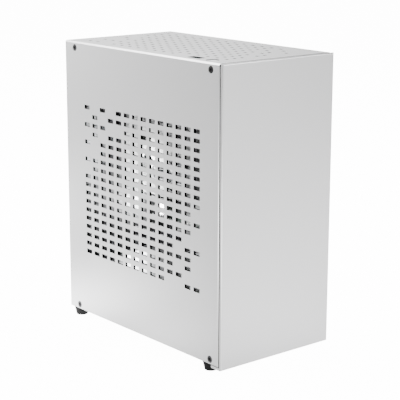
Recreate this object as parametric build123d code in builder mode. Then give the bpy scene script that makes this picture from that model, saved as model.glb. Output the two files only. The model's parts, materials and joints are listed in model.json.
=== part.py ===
"""Small desktop computer tower: slotted aluminium case, board, cooler, power supply and controls."""
import math
import os

from build123d import *

# Overall size in millimetres, +X right, +Y back, +Z up, ground at z = 0
WIDTH = 116.0
DEPTH = 208.0
HEIGHT = 240.0
GROUND_GAP = 5.5

# Sheet thicknesses
PANEL_T = 2.0
BASE_T = 1.5
SHEET_T = 1.2

# Main faces of the case
X_OUT = WIDTH / 2
X_IN = X_OUT - PANEL_T
Y_FRONT = -DEPTH / 2
Y_BACK = DEPTH / 2
Z_LOW = GROUND_GAP
Z_TOP = GROUND_GAP + HEIGHT
Z_LID = Z_TOP - PANEL_T
Z_BASE = Z_LOW + PANEL_T
Z_FLOOR = Z_BASE + BASE_T
Y_PLATE = Y_FRONT + PANEL_T
Y_FRAME = Y_PLATE + SHEET_T
Y_WALL = Y_BACK - SHEET_T

# Side panels: reveal behind the front plate, raised lower edge, bright broken edges, the upper one wider
REVEAL = 1.8
SIDE_LIFT = 2.3
EDGE_BREAK = 0.5
TOP_BREAK = 1.3
SIDE_Y = (Y_PLATE + REVEAL, Y_BACK)
SIDE_Z = (Z_LOW + SIDE_LIFT, Z_TOP)

# Vent slots: long ones in the walls, short ones in the lid, counted from the back and from the top or right
SLOT_L = 7.5
SLOT_W = 3.5
LID_SLOT = (2.4, 3.2)
LEFT_COLS, LEFT_ROWS = 14, 18
LEFT_PITCH = (11.3, 7.45)
LEFT_CENTRE = (-0.65, 127.9)
LEFT_GAPS = {
    1: (2, 4), 2: (1, 3), 3: (4, 5), 4: (1, 3), 5: (2,), 6: (1, 2), 8: (1,), 10: (14,), 12: (14,),
    13: (13, 14), 14: (12,), 15: (14,), 16: (12, 14), 17: (13, 14), 18: (11, 12),
}
RIGHT_COLS, RIGHT_ROWS = 6, 4
RIGHT_CENTRE = (36.0, 160.0)
RIGHT_GAPS = {1: (2,), 2: (1,), 4: (5,)}
TOP_COLS, TOP_ROWS = 16, 12
TOP_PITCH = (11.3, 7.7)
TOP_CENTRE = (1.4, -1.65)
TOP_GAPS = {
    1: (15, 16), 2: (14, 16), 3: (15,), 4: (14, 16), 5: (1, 16), 6: (1, 15), 7: (2,), 8: (1, 16),
    9: (1, 2, 3), 11: (1, 2, 3), 12: (3, 12, 13, 14, 15, 16),
}

# Side panel screws: M3 countersunk, set in from the panel corners
SCREW_R = 1.5
SCREW_HEAD_R = 3.0
HEAD_LAND = 0.1
HEAD_SIDES = 10
PAN_SIDES = 6
SHANK_SIDES = 6
SCREW_L = 6.0
SCREW_CLEAR = 0.1
TAP_CLEAR = 0.05
SCREW_Y = (Y_FRONT + 13.6, Y_BACK - 14.3)
SCREW_Z = (Z_LOW + 6.5, Z_TOP - 5.3)

# Frame: long rails under the lid and on the base, flanged front frame, returns on the front plate
RAIL_T = 2.0
RAIL_H = 9.5
FLANGE_GAP = 0.5
FLANGE_Z = (Z_FLOOR + RAIL_H + FLANGE_GAP, Z_LID - RAIL_H - FLANGE_GAP)
FRONT_FLANGE_D = 20.0
REAR_FLANGE_D = 13.0
FRONT_EDGE_R = 1.2
FRONT_RETURN = 12.0
HOOK = (4.0, 8.0)
HOOK_GAP = 0.2
HOOK_L = 4.5
HOOK_X = 45.0
HOOK_Z = (42.0, 216.0)
FRAME_WINDOW = (76.0, 62.0)
FRAME_WINDOW_Z = 66.0

# Rubber feet
FOOT_R = 6.7
FOOT_LOW_R = 5.2
FOOT_EDGE = 1.0
FOOT_SIDES = 10
FOOT_X = X_OUT - 7.2
FOOT_Y = (Y_FRONT + 20.7, Y_BACK - 7.2)

# Power button and USB socket in the lid, near the front left corner
BUTTON_X = -X_OUT + 10.6
BUTTON_Y = Y_FRONT + 24.0
BUTTON_R = 4.9
BUTTON_SIDES = 14
BUTTON_HOLE_R = 5.2
BUTTON_FLANGE_R = 5.6
BUTTON_SINK = 0.5
BUTTON_LIFT = 0.3
FLANGE_H = 2.0
GUIDE_BORE_R = 5.68
GUIDE_R = 6.3
GUIDE_L = 7.5
STEM_R = 2.0
USB_X = -X_OUT + 11.2
USB_Y = Y_FRONT + 44.0
USB_W = 13.1
USB_H = 5.7
USB_WALL = 0.4
USB_GAP = 0.7
USB_TIP = 2.3
TONGUE_W = 11.1
TONGUE_T = 1.9
TONGUE_SHIFT = 0.9
TONGUE_BASE = 2.5
IO_BOARD_T = 1.6
IO_BOARD_X = (-53.5, -40.5)
IO_BOARD_Y = (-87.0, -46.0)
IO_BOARD_Z = Z_LID - 12.0
SPACER_FLATS = 4.0
SPACER_X = -47.0
SPACER_Y = (-70.2, -50.0)
SWITCH_SIDE = 6.0
SWITCH_H = 3.5
SWITCH_BORE = 1.5
PLUNGER_SIDES = 8
PLUNGER_R = 1.7
PLUNGER_CLEAR = 0.1
PLUNGER_SUNK = 0.3
STEM_END_Z = Z_LID - 7.0

# Board tray and board: mini format, standing on its right side, sockets to the back
BOARD_SIDE = 170.0
BOARD_T = 1.6
STANDOFF_L = 6.35
STANDOFF_FLATS = 5.0
TRAY_X = X_IN - 2 * SHEET_T
TRAY_Y = (-96.0, 101.5)
TRAY_Z = (58.0, 232.0)
TRAY_WINDOW = (84.0, 84.0)
BOARD_BACK_X = TRAY_X - STANDOFF_L
BOARD_X = BOARD_BACK_X - BOARD_T
BOARD_Y = (Y_BACK - 3.5 - BOARD_SIDE, Y_BACK - 3.5)
BOARD_Z = (60.0, 60.0 + BOARD_SIDE)
BOARD_HOLES = (154.94, 157.48)
BOARD_HOLE_SHIFT = (2.63, 0.09)
BOARD_HOLE_R = 1.7
BOARD_SCREW_HEAD_R = 2.8
BOARD_SCREW_HEAD_H = 1.8
BOARD_SCREW_L = 5.0

# Processor, cooler and fan
CPU_Y, CPU_Z = 36.0, 160.0
SOCKET_SIDE, SOCKET_T = 48.0, 3.0
SOCKET_POCKET, SOCKET_POCKET_D = 38.0, 1.0
CPU_SIDE, CPU_T = 37.5, 2.2
CPU_LID_SIDE, CPU_LID_T = 29.0, 2.2
COOLER_SIDE = 92.0
CONTACT_SIDE, CONTACT_T = 40.0, 5.0
FIN_PLATE_T = 3.0
FIN_H, FIN_T, FIN_COUNT = 27.0, 1.2, 11
FAN_WALL = 1.5
DUCT_SIDES = 16
BORE_SIDES = 8
DUCT_FILL = 0.93
HUB_LOW, HUB_HIGH = 0.25, 0.95
BLADE_ROOT, BLADE_CHORD, BLADE_PITCH = 0.8, 0.85, 36.0
SHAFT_END = 0.4
SHAFT_CLEAR = 0.05
COOLER_FAN = {"size": COOLER_SIDE, "depth": 15.0, "hub_r": 19.5, "shaft_r": 1.5, "blades": 7}

# Board parts, each (y, z) centre with its size along y, z and out from the board
DIMM_Y = (-50.0, -39.0)
DIMM_Z = 152.0
DIMM_SLOT = (6.5, 140.0, 7.0)
DIMM = (1.4, 133.35, 31.0)
DIMM_SEAT = 5.0
POWER_Y, POWER_Z = -63.0, 176.0
POWER_SOCKET = (10.0, 52.0, 12.0)
POWER_WALL = 1.0
POWER_POCKET_D = 9.0
POWER_PLUG_L = 10.0
PCIE_Y, PCIE_Z = 24.0, 67.5
PCIE_SLOT = (89.0, 7.5, 11.0)
PCIE_GROOVE = (84.0, 1.8, 8.0)
CHIPSET_Y, CHIPSET_Z = 4.0, 93.0
CHIPSET_SIDE, CHIPSET_BASE, CHIPSET_FIN_H = 32.0, 2.5, 6.0
CHIPSET_FINS = 6
HEADER_Y, HEADER_Z = -62.0, 74.0
HEADER_PLUG = (10.0, 6.0, 8.0)
DRIVE = (70.0, 100.0, 7.0)
DRIVE_Z = 160.0

# Rear sockets: centre height and size of each, and the shield that closes the gap round them
PORT_FACE_Y = Y_BACK - 0.2
PORT_GAP = 0.25
USB_PAIR = {"width": 14.5, "rise": 16.0, "depth": 18.0}
USB_PAIR_Z = {"rear_usb_lower": 86.0, "rear_usb_upper": 178.0}
USB_MOUTH = (12.5, 5.1)
USB_MOUTH_D = 14.0
USB_PAIR_TONGUE = (11.0, 1.9)
USB_PAIR_PITCH = 7.6
PORT_TIP = 1.5
LAN_Z = 118.0
LAN = {"width": 16.0, "rise": 13.5, "depth": 21.0}
LAN_MOUTH = (11.8, 8.2)
LAN_MOUTH_D = 13.0
LAN_LATCH = (4.4, 2.2)
DISPLAY_Z = 148.0
DISPLAY = {"width": 15.2, "rise": 6.4, "depth": 12.0}
DISPLAY_MOUTH = (14.0, 4.6)
DISPLAY_MOUTH_D = 10.0
DISPLAY_TONGUE = (10.6, 1.2)
AUDIO_Z = 207.0
AUDIO = {"width": 12.5, "rise": 33.0, "depth": 14.0}
AUDIO_SET_BACK = 2.5
AUDIO_PITCH = 10.6
AUDIO_BARREL_R = 4.0
AUDIO_BORE_R = 1.8
AUDIO_BORE_D = 12.0
AUDIO_SIDES = 6
SHIELD_T = 0.5
SHIELD_OPENING = (44.45, 158.75)
SHIELD_LAP = 1.4
SHIELD_DROP = 3.8
SHIELD_Z = 148.4
SHIELD_X = BOARD_X + SHIELD_DROP - SHIELD_OPENING[0] / 2

# Rear panel: blank expansion slot and a small vent above it
COVER_T = 0.8
COVER = (80.0, 15.0)
COVER_X, COVER_Z = 10.0, 58.7
COVER_OPENING = (66.0, 10.5)
COVER_SCREW_X = 36.5
COVER_SCREW_R = 1.5
COVER_SCREW_HEAD_R = 2.6
COVER_SCREW_HEAD_H = 1.2
REAR_VENT_COLS, REAR_VENT_ROWS = 2, 4
REAR_VENT_CENTRE = (-28.0, 206.0)

# Power supply lying on the base at the back
PSU_X = (-37.0, 44.5)
PSU_L = 150.0
PSU_H = 40.5
PSU_WALL = 1.0
PSU_Y = (Y_WALL - PSU_L, Y_WALL)
PSU_Z = (Z_FLOOR, Z_FLOOR + PSU_H)
PSU_MID_Z = Z_FLOOR + PSU_H / 2
PSU_FAN_X = 23.0
PSU_FAN = {"size": 38.0, "depth": 15.0, "hub_r": 8.8, "shaft_r": 1.0, "blades": 5}
PSU_GRILLE_R = 17.5
PSU_GRILLE_SLOTS, PSU_GRILLE_PITCH, PSU_GRILLE_W = 6, 5.8, 3.6
PSU_CUT_R = 18.2
PSU_SCREW_X = (-33.0, 0.9)
PSU_SCREW_Z = (PSU_MID_Z - 15.75, PSU_MID_Z + 15.75)
PSU_SCREW_HEAD_R = 2.6
PSU_SCREW_L = 5.0
PSU_VENT_COLS, PSU_VENT_ROWS = 3, 2
INLET_X = -18.0
INLET_FLANGE = (30.0, 23.0, 1.0)
INLET_BODY = (27.0, 19.8, 18.0)
INLET_MOUTH = (24.0, 16.4)
INLET_MOUTH_D = 15.5
INLET_CORNER = 5.0
INLET_CUT = (31.0, 24.0)
PIN = (2.0, 4.0, 13.0)
PIN_SPREAD = 7.0
PIN_STEP = 3.0
RAIL_UNDER_BOARD = (3.0, 4.0)
PSU_BOARD_X = (-34.5, 42.0)
PSU_BOARD_Y = (-45.0, 80.0)
TRANSFORMER = (34.0, 30.0, 26.0)
TRANSFORMER_XY = (18.0, 10.0)
CAPACITOR_R, CAPACITOR_H = 9.0, 28.0
CAPACITOR_SIDES = 10
CAPACITOR_XY = (-18.0, 46.0)

# Leads that stay inside the case
MAIN_LEAD = (9.0, 5.0)
MAIN_LEAD_X = 0.0
MAIN_LEAD_Z = 32.0
MAIN_LEAD_BENDS = (13.0, 18.0)
FRONT_LEAD = (4.0, 1.2)
FRONT_LEAD_X = -47.0
FRONT_LEAD_Y = -84.0
FRONT_LEAD_BENDS = (60.0, 12.0)

PANEL_LINE = 2 * X_IN
LID_FRONT = Y_PLATE + REVEAL
os.makedirs("parts", exist_ok=True)


def write(piece, label):
    """Name a finished piece and write it to its own file."""
    piece.part.label = label
    export_step(piece.part, f"parts/{label}.step")


def middle(limits):
    """Point half way between two limits."""
    return (limits[0] + limits[1]) / 2


def length(limits):
    """Distance between two limits."""
    return limits[1] - limits[0]


def lattice(columns, rows, pitch, gaps):
    """Offsets of the slots that a lattice holds, leaving out the gaps named for each row."""
    return [
        (((columns + 1) / 2 - column) * pitch[0], ((rows + 1) / 2 - row) * pitch[1])
        for row in range(1, rows + 1)
        for column in range(1, columns + 1)
        if column not in gaps.get(row, ())
    ]


def flat_y(y):
    """Upright plane at a depth y, drawn in x and z, that faces the front."""
    return Plane.XZ.offset(-y)


def flat_x(x):
    """Upright plane at x, drawn in y and z, that faces right."""
    return Plane.YZ.offset(x)


def rim(face):
    """Edges round a face, the lowest first."""
    return face.outer_wire().edges().sort_by(Axis.Z)


def side_screw_planes(x, facing):
    """Seats of the four panel screws on one side, each with its axis pointing out of the case."""
    return [Plane((x, y, z), (0, 1, 0), (facing, 0, 0)) for y in SCREW_Y for z in SCREW_Z]


def countersunk(head_r, shank_r, reach, sides):
    """Countersunk form with a faceted head at the origin and its shank along -Z."""
    sink = head_r - shank_r
    with BuildPart() as form:
        with BuildSketch():
            RegularPolygon(head_r, sides)
        extrude(amount=-(sink + HEAD_LAND))
        chamfer(form.faces().sort_by(Axis.Z)[0].edges(), sink)
        with BuildSketch(Plane.XY.offset(-sink - HEAD_LAND)):
            RegularPolygon(shank_r, SHANK_SIDES)
        extrude(amount=sink + HEAD_LAND - reach)
    return form


# Front plate with its lower return and the hooks on its back
with BuildPart() as front_panel:
    with BuildSketch(flat_x(-X_OUT)):
        with BuildLine():
            Polyline(
                (Y_FRONT, Z_LOW),
                (Y_FRONT + FRONT_RETURN, Z_LOW),
                (Y_FRONT + FRONT_RETURN, Z_BASE),
                (Y_PLATE, Z_BASE),
                (Y_PLATE, Z_TOP),
                (Y_FRONT, Z_TOP),
                close=True,
            )
        make_face()
    extrude(amount=WIDTH)
    fillet(front_panel.faces().sort_by(Axis.Y)[0].edges(), FRONT_EDGE_R)
    with BuildSketch(flat_y(Y_PLATE)):
        with Locations((0, middle(HOOK_Z))):
            with GridLocations(2 * HOOK_X, length(HOOK_Z), 2, 2):
                Rectangle(*HOOK)
    extrude(amount=-HOOK_L)
write(front_panel, "front_panel")

# Folded frame behind the front plate, with a window and two side flanges
with BuildPart() as front_frame:
    with BuildSketch(flat_y(Y_PLATE)):
        with Locations((0, (Z_FLOOR + Z_LID) / 2)):
            Rectangle(PANEL_LINE, Z_LID - Z_FLOOR)
        with Locations((0, FRAME_WINDOW_Z)):
            Rectangle(*FRAME_WINDOW, mode=Mode.SUBTRACT)
        with Locations((0, middle(HOOK_Z))):
            with GridLocations(2 * HOOK_X, length(HOOK_Z), 2, 2):
                Rectangle(HOOK[0] + 2 * HOOK_GAP, HOOK[1] + 2 * HOOK_GAP, mode=Mode.SUBTRACT)
    extrude(amount=-SHEET_T)
    with BuildSketch(flat_x(-X_IN)):
        with Locations((Y_PLATE + FRONT_FLANGE_D / 2, middle(FLANGE_Z))):
            Rectangle(FRONT_FLANGE_D, length(FLANGE_Z))
    extrude(amount=SHEET_T)
    mirror(about=Plane.YZ)
write(front_frame, "front_frame")

# Base plate with vent slots under the power supply
with BuildPart() as base_plate:
    with BuildSketch(Plane.XY.offset(Z_BASE)):
        with Locations((0, (Y_PLATE + Y_BACK) / 2)):
            Rectangle(PANEL_LINE, Y_BACK - Y_PLATE)
        with Locations((middle(PSU_X), middle(PSU_Y))):
            with GridLocations(LEFT_PITCH[0], 2 * LEFT_PITCH[1], PSU_VENT_COLS, PSU_VENT_ROWS):
                Rectangle(SLOT_L, SLOT_W, mode=Mode.SUBTRACT)
    extrude(amount=BASE_T)
write(base_plate, "base_plate")

# Long rails that tie front frame and rear panel together and take the panel screws
for label, low in (("top_rails", Z_LID - RAIL_H), ("bottom_rails", Z_FLOOR)):
    with BuildPart() as rails:
        with BuildSketch(flat_x(-X_IN)):
            with Locations(((Y_FRAME + Y_WALL) / 2, low + RAIL_H / 2)):
                Rectangle(Y_WALL - Y_FRAME, RAIL_H)
        extrude(amount=RAIL_T)
        mirror(about=Plane.YZ)
        with BuildSketch(flat_x(-X_OUT)):
            with Locations(*[(y, z) for y in SCREW_Y for z in SCREW_Z]):
                RegularPolygon(SCREW_R + TAP_CLEAR, SHANK_SIDES)
        extrude(amount=WIDTH, mode=Mode.SUBTRACT)
    write(rails, label)

# Slotted lid with openings for the power button and the USB socket
with BuildPart() as top_panel:
    with BuildSketch(Plane.XY.offset(Z_LID)):
        with Locations((0, (LID_FRONT + Y_BACK) / 2)):
            Rectangle(PANEL_LINE, Y_BACK - LID_FRONT)
        lid_slots = lattice(TOP_COLS, TOP_ROWS, TOP_PITCH, TOP_GAPS)
        with Locations(*[(TOP_CENTRE[1] + v, TOP_CENTRE[0] + u) for u, v in lid_slots]):
            Rectangle(*LID_SLOT, mode=Mode.SUBTRACT)
        with Locations((BUTTON_X, BUTTON_Y)):
            RegularPolygon(BUTTON_HOLE_R, BUTTON_SIDES, mode=Mode.SUBTRACT)
        with Locations((USB_X, USB_Y)):
            Rectangle(USB_H + 2 * USB_GAP, USB_W + 2 * USB_GAP, mode=Mode.SUBTRACT)
    extrude(amount=PANEL_T)
write(top_panel, "top_panel")

# Panel screw and the seat that is cut for it
panel_screw = countersunk(SCREW_HEAD_R, SCREW_R, SCREW_L, HEAD_SIDES)
seat = countersunk(SCREW_HEAD_R + SCREW_CLEAR, SCREW_R + SCREW_CLEAR, SCREW_L, HEAD_SIDES)

# Left side panel: slot lattice that breaks up at two corners, countersunk screw seats
with BuildPart() as left_side_panel:
    with BuildSketch(flat_x(-X_OUT)):
        with Locations((middle(SIDE_Y), middle(SIDE_Z))):
            Rectangle(length(SIDE_Y), length(SIDE_Z))
        left_slots = lattice(LEFT_COLS, LEFT_ROWS, LEFT_PITCH, LEFT_GAPS)
        with Locations(*[(LEFT_CENTRE[0] + u, LEFT_CENTRE[1] + v) for u, v in left_slots]):
            Rectangle(SLOT_L, SLOT_W, mode=Mode.SUBTRACT)
    extrude(amount=PANEL_T)
    chamfer(rim(left_side_panel.faces().sort_by(Axis.X)[0])[-1], TOP_BREAK)
    chamfer(rim(left_side_panel.faces().sort_by(Axis.X)[0])[:-1], EDGE_BREAK)
    with Locations(*side_screw_planes(-X_OUT, -1)):
        add(seat.part, mode=Mode.SUBTRACT)
write(left_side_panel, "left_side_panel")

# Right side panel: a smaller block of the same slots beside the board tray
with BuildPart() as right_side_panel:
    with BuildSketch(flat_x(X_IN)):
        with Locations((middle(SIDE_Y), middle(SIDE_Z))):
            Rectangle(length(SIDE_Y), length(SIDE_Z))
        right_slots = lattice(RIGHT_COLS, RIGHT_ROWS, LEFT_PITCH, RIGHT_GAPS)
        with Locations(*[(RIGHT_CENTRE[0] + u, RIGHT_CENTRE[1] + v) for u, v in right_slots]):
            Rectangle(SLOT_L, SLOT_W, mode=Mode.SUBTRACT)
    extrude(amount=PANEL_T)
    chamfer(rim(right_side_panel.faces().sort_by(Axis.X)[-1])[-1], TOP_BREAK)
    chamfer(rim(right_side_panel.faces().sort_by(Axis.X)[-1])[:-1], EDGE_BREAK)
    with Locations(*side_screw_planes(X_OUT, 1)):
        add(seat.part, mode=Mode.SUBTRACT)
write(right_side_panel, "right_side_panel")

for label, x, facing in (("left_panel_screws", -X_OUT, -1), ("right_panel_screws", X_OUT, 1)):
    with BuildPart() as side_screws:
        with Locations(*side_screw_planes(x, facing)):
            add(panel_screw.part)
    write(side_screws, label)

# Four tapered rubber feet under the base
with BuildPart() as foot:
    with BuildSketch(Plane.XY.offset(Z_BASE)):
        RegularPolygon(FOOT_R, FOOT_SIDES)
    extrude(amount=-Z_BASE, taper=math.degrees(math.atan((FOOT_R - FOOT_LOW_R) / Z_BASE)))
    chamfer(foot.faces().sort_by(Axis.Z)[0].edges(), FOOT_EDGE)

with BuildPart() as rubber_feet:
    with Locations(*[(x, y) for x in (-FOOT_X, FOOT_X) for y in FOOT_Y]):
        add(foot.part)
write(rubber_feet, "rubber_feet")

# Power button: visible cap, retaining flange and stem
with BuildPart() as power_button:
    with BuildSketch(Plane.XY.offset(Z_LID - BUTTON_LIFT)):
        with Locations((BUTTON_X, BUTTON_Y)):
            RegularPolygon(BUTTON_R, BUTTON_SIDES)
    extrude(amount=PANEL_T + BUTTON_LIFT - BUTTON_SINK)
    with BuildSketch(Plane.XY.offset(Z_LID - BUTTON_LIFT)):
        with Locations((BUTTON_X, BUTTON_Y)):
            RegularPolygon(BUTTON_FLANGE_R, BUTTON_SIDES)
    extrude(amount=-FLANGE_H)
    with BuildSketch(Plane.XY.offset(STEM_END_Z)):
        with Locations((BUTTON_X, BUTTON_Y)):
            RegularPolygon(STEM_R, PLUNGER_SIDES)
    extrude(amount=Z_LID - BUTTON_LIFT - FLANGE_H - STEM_END_Z)
    chamfer(power_button.faces().sort_by(Axis.Z)[-1].edges(), BUTTON_SINK)
write(power_button, "power_button")

# Guide tube that the button's flange slides in
with BuildPart() as power_button_guide:
    with BuildSketch(Plane.XY.offset(Z_LID)):
        with Locations((BUTTON_X, BUTTON_Y)):
            RegularPolygon(GUIDE_R, BUTTON_SIDES)
            RegularPolygon(GUIDE_BORE_R, BUTTON_SIDES, mode=Mode.SUBTRACT)
    extrude(amount=-GUIDE_L)
write(power_button_guide, "power_button_guide")

# Small board under the lid with the switch and the USB socket
with BuildPart() as front_io_board:
    with BuildSketch(Plane.XY.offset(IO_BOARD_Z)):
        with Locations((middle(IO_BOARD_X), middle(IO_BOARD_Y))):
            Rectangle(length(IO_BOARD_X), length(IO_BOARD_Y))
    extrude(amount=-IO_BOARD_T)
write(front_io_board, "front_io_board")

with BuildPart() as io_board_spacers:
    with BuildSketch(Plane.XY.offset(IO_BOARD_Z)):
        with Locations(*[(SPACER_X, y) for y in SPACER_Y]):
            RegularPolygon(SPACER_FLATS / 2, 6, major_radius=False)
    extrude(amount=Z_LID - IO_BOARD_Z)
write(io_board_spacers, "io_board_spacers")

with BuildPart() as power_switch:
    with BuildSketch(Plane.XY.offset(IO_BOARD_Z)):
        with Locations((BUTTON_X, BUTTON_Y)):
            Rectangle(SWITCH_SIDE, SWITCH_SIDE)
    extrude(amount=SWITCH_H)
    with BuildSketch(Plane.XY.offset(IO_BOARD_Z + SWITCH_H)):
        with Locations((BUTTON_X, BUTTON_Y)):
            RegularPolygon(PLUNGER_R + PLUNGER_CLEAR, PLUNGER_SIDES)
    extrude(amount=-SWITCH_BORE, mode=Mode.SUBTRACT)
write(power_switch, "power_switch")

with BuildPart() as switch_plunger:
    with BuildSketch(Plane.XY.offset(STEM_END_Z)):
        with Locations((BUTTON_X, BUTTON_Y)):
            RegularPolygon(PLUNGER_R, PLUNGER_SIDES)
    extrude(amount=IO_BOARD_Z + SWITCH_H - PLUNGER_SUNK - STEM_END_Z)
write(switch_plunger, "switch_plunger")

# USB socket in the lid: folded shell round a base with its contact tongue
with BuildPart() as front_usb_shell:
    with BuildSketch(Plane.XY.offset(IO_BOARD_Z)):
        with Locations((USB_X, USB_Y)):
            Rectangle(USB_H, USB_W)
            Rectangle(USB_H - 2 * USB_WALL, USB_W - 2 * USB_WALL, mode=Mode.SUBTRACT)
    extrude(amount=Z_TOP - BUTTON_SINK - IO_BOARD_Z)
write(front_usb_shell, "front_usb_shell")

with BuildPart() as front_usb_tongue:
    with BuildSketch(Plane.XY.offset(IO_BOARD_Z)):
        with Locations((USB_X, USB_Y)):
            Rectangle(USB_H - 2 * USB_WALL, USB_W - 2 * USB_WALL)
    extrude(amount=TONGUE_BASE)
    with BuildSketch(Plane.XY.offset(IO_BOARD_Z + TONGUE_BASE)):
        with Locations((USB_X + TONGUE_SHIFT, USB_Y)):
            Rectangle(TONGUE_T, TONGUE_W)
    extrude(amount=Z_TOP - USB_TIP - IO_BOARD_Z - TONGUE_BASE)
write(front_usb_tongue, "front_usb_tongue")

# Power supply screw and its seat, put in from the back
psu_screw = countersunk(PSU_SCREW_HEAD_R, SCREW_R, PSU_SCREW_L, PAN_SIDES)
psu_seat = countersunk(PSU_SCREW_HEAD_R + SCREW_CLEAR, SCREW_R + SCREW_CLEAR, PSU_SCREW_L, PAN_SIDES)
psu_screw_planes = [Plane((x, Y_BACK, z), (1, 0, 0), (0, 1, 0)) for x in PSU_SCREW_X for z in PSU_SCREW_Z]

# Rear panel: openings for sockets, blank slot, mains inlet and fan, a small vent, two flanges
with BuildPart() as rear_panel:
    with BuildSketch(flat_y(Y_BACK)):
        with Locations((0, (Z_FLOOR + Z_LID) / 2)):
            Rectangle(PANEL_LINE, Z_LID - Z_FLOOR)
        with Locations((SHIELD_X, SHIELD_Z)):
            Rectangle(*SHIELD_OPENING, mode=Mode.SUBTRACT)
        with Locations((COVER_X, COVER_Z)):
            Rectangle(*COVER_OPENING, mode=Mode.SUBTRACT)
            with GridLocations(2 * COVER_SCREW_X, 0, 2, 1):
                RegularPolygon(COVER_SCREW_R + TAP_CLEAR, SHANK_SIDES, mode=Mode.SUBTRACT)
        with Locations((PSU_FAN_X, PSU_MID_Z)):
            RegularPolygon(PSU_CUT_R, DUCT_SIDES, mode=Mode.SUBTRACT)
        with Locations((INLET_X, PSU_MID_Z)):
            Rectangle(*INLET_CUT, mode=Mode.SUBTRACT)
        with Locations(REAR_VENT_CENTRE):
            with GridLocations(LEFT_PITCH[0], LEFT_PITCH[1], REAR_VENT_COLS, REAR_VENT_ROWS):
                Rectangle(SLOT_L, SLOT_W, mode=Mode.SUBTRACT)
    extrude(amount=SHEET_T)
    with BuildSketch(flat_x(-X_IN)):
        with Locations((Y_BACK - REAR_FLANGE_D / 2, middle(FLANGE_Z))):
            Rectangle(REAR_FLANGE_D, length(FLANGE_Z))
    flange = extrude(amount=SHEET_T)
    mirror(flange, about=Plane.YZ)
    with Locations(*psu_screw_planes):
        add(psu_seat.part, mode=Mode.SUBTRACT)
write(rear_panel, "rear_panel")

# Blank cover of the expansion slot and its screws, put in from inside
with BuildPart() as slot_cover:
    with BuildSketch(flat_y(Y_WALL)):
        with Locations((COVER_X, COVER_Z)):
            Rectangle(*COVER)
            with GridLocations(2 * COVER_SCREW_X, 0, 2, 1):
                RegularPolygon(COVER_SCREW_R + TAP_CLEAR, SHANK_SIDES, mode=Mode.SUBTRACT)
    extrude(amount=COVER_T)
write(slot_cover, "slot_cover")

with BuildPart() as slot_cover_screws:
    with BuildSketch(flat_y(Y_WALL - COVER_T)):
        with Locations((COVER_X, COVER_Z)):
            with GridLocations(2 * COVER_SCREW_X, 0, 2, 1):
                RegularPolygon(COVER_SCREW_HEAD_R, PAN_SIDES)
    extrude(amount=COVER_SCREW_HEAD_H)
    with BuildSketch(flat_y(Y_WALL - COVER_T)):
        with Locations((COVER_X, COVER_Z)):
            with GridLocations(2 * COVER_SCREW_X, 0, 2, 1):
                RegularPolygon(COVER_SCREW_R, SHANK_SIDES)
    extrude(amount=-(COVER_T + SHEET_T))
write(slot_cover_screws, "slot_cover_screws")

# Board tray, standoffs, board and its screws
with BuildPart() as motherboard_tray:
    with BuildSketch(flat_x(TRAY_X)):
        with Locations((middle(TRAY_Y), middle(TRAY_Z))):
            Rectangle(length(TRAY_Y), length(TRAY_Z))
        with Locations((CPU_Y, CPU_Z)):
            Rectangle(*TRAY_WINDOW, mode=Mode.SUBTRACT)
    extrude(amount=SHEET_T)
write(motherboard_tray, "motherboard_tray")

board_hole_centre = (middle(BOARD_Y) - BOARD_HOLE_SHIFT[0], middle(BOARD_Z) + BOARD_HOLE_SHIFT[1])

with BuildPart() as board_standoffs:
    with BuildSketch(flat_x(BOARD_BACK_X)):
        with Locations(board_hole_centre):
            with GridLocations(*BOARD_HOLES, 2, 2):
                RegularPolygon(STANDOFF_FLATS / 2, 6, major_radius=False)
                RegularPolygon(SCREW_R + TAP_CLEAR, SHANK_SIDES, mode=Mode.SUBTRACT)
    extrude(amount=STANDOFF_L)
write(board_standoffs, "board_standoffs")

with BuildPart() as motherboard:
    with BuildSketch(flat_x(BOARD_X)):
        with Locations((middle(BOARD_Y), middle(BOARD_Z))):
            Rectangle(BOARD_SIDE, BOARD_SIDE)
        with Locations(board_hole_centre):
            with GridLocations(*BOARD_HOLES, 2, 2):
                RegularPolygon(BOARD_HOLE_R, SHANK_SIDES, mode=Mode.SUBTRACT)
    extrude(amount=BOARD_T)
write(motherboard, "motherboard")

with BuildPart() as board_screws:
    with BuildSketch(flat_x(BOARD_X)):
        with Locations(board_hole_centre):
            with GridLocations(*BOARD_HOLES, 2, 2):
                RegularPolygon(BOARD_SCREW_HEAD_R, PAN_SIDES)
    extrude(amount=-BOARD_SCREW_HEAD_H)
    with BuildSketch(flat_x(BOARD_X)):
        with Locations(board_hole_centre):
            with GridLocations(*BOARD_HOLES, 2, 2):
                RegularPolygon(SCREW_R, SHANK_SIDES)
    extrude(amount=BOARD_SCREW_L)
write(board_screws, "board_screws")

# Processor socket, processor and finned cooler
with BuildPart() as cpu_socket:
    with BuildSketch(flat_x(BOARD_X)):
        with Locations((CPU_Y, CPU_Z)):
            Rectangle(SOCKET_SIDE, SOCKET_SIDE)
    extrude(amount=-SOCKET_T)
    with BuildSketch(flat_x(BOARD_X - SOCKET_T)):
        with Locations((CPU_Y, CPU_Z)):
            Rectangle(SOCKET_POCKET, SOCKET_POCKET)
    extrude(amount=SOCKET_POCKET_D, mode=Mode.SUBTRACT)
write(cpu_socket, "cpu_socket")

CPU_X = BOARD_X - SOCKET_T + SOCKET_POCKET_D
with BuildPart() as processor:
    with BuildSketch(flat_x(CPU_X)):
        with Locations((CPU_Y, CPU_Z)):
            Rectangle(CPU_SIDE, CPU_SIDE)
    extrude(amount=-CPU_T)
    with BuildSketch(flat_x(CPU_X - CPU_T)):
        with Locations((CPU_Y, CPU_Z)):
            Rectangle(CPU_LID_SIDE, CPU_LID_SIDE)
    extrude(amount=-CPU_LID_T)
write(processor, "processor")

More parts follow.
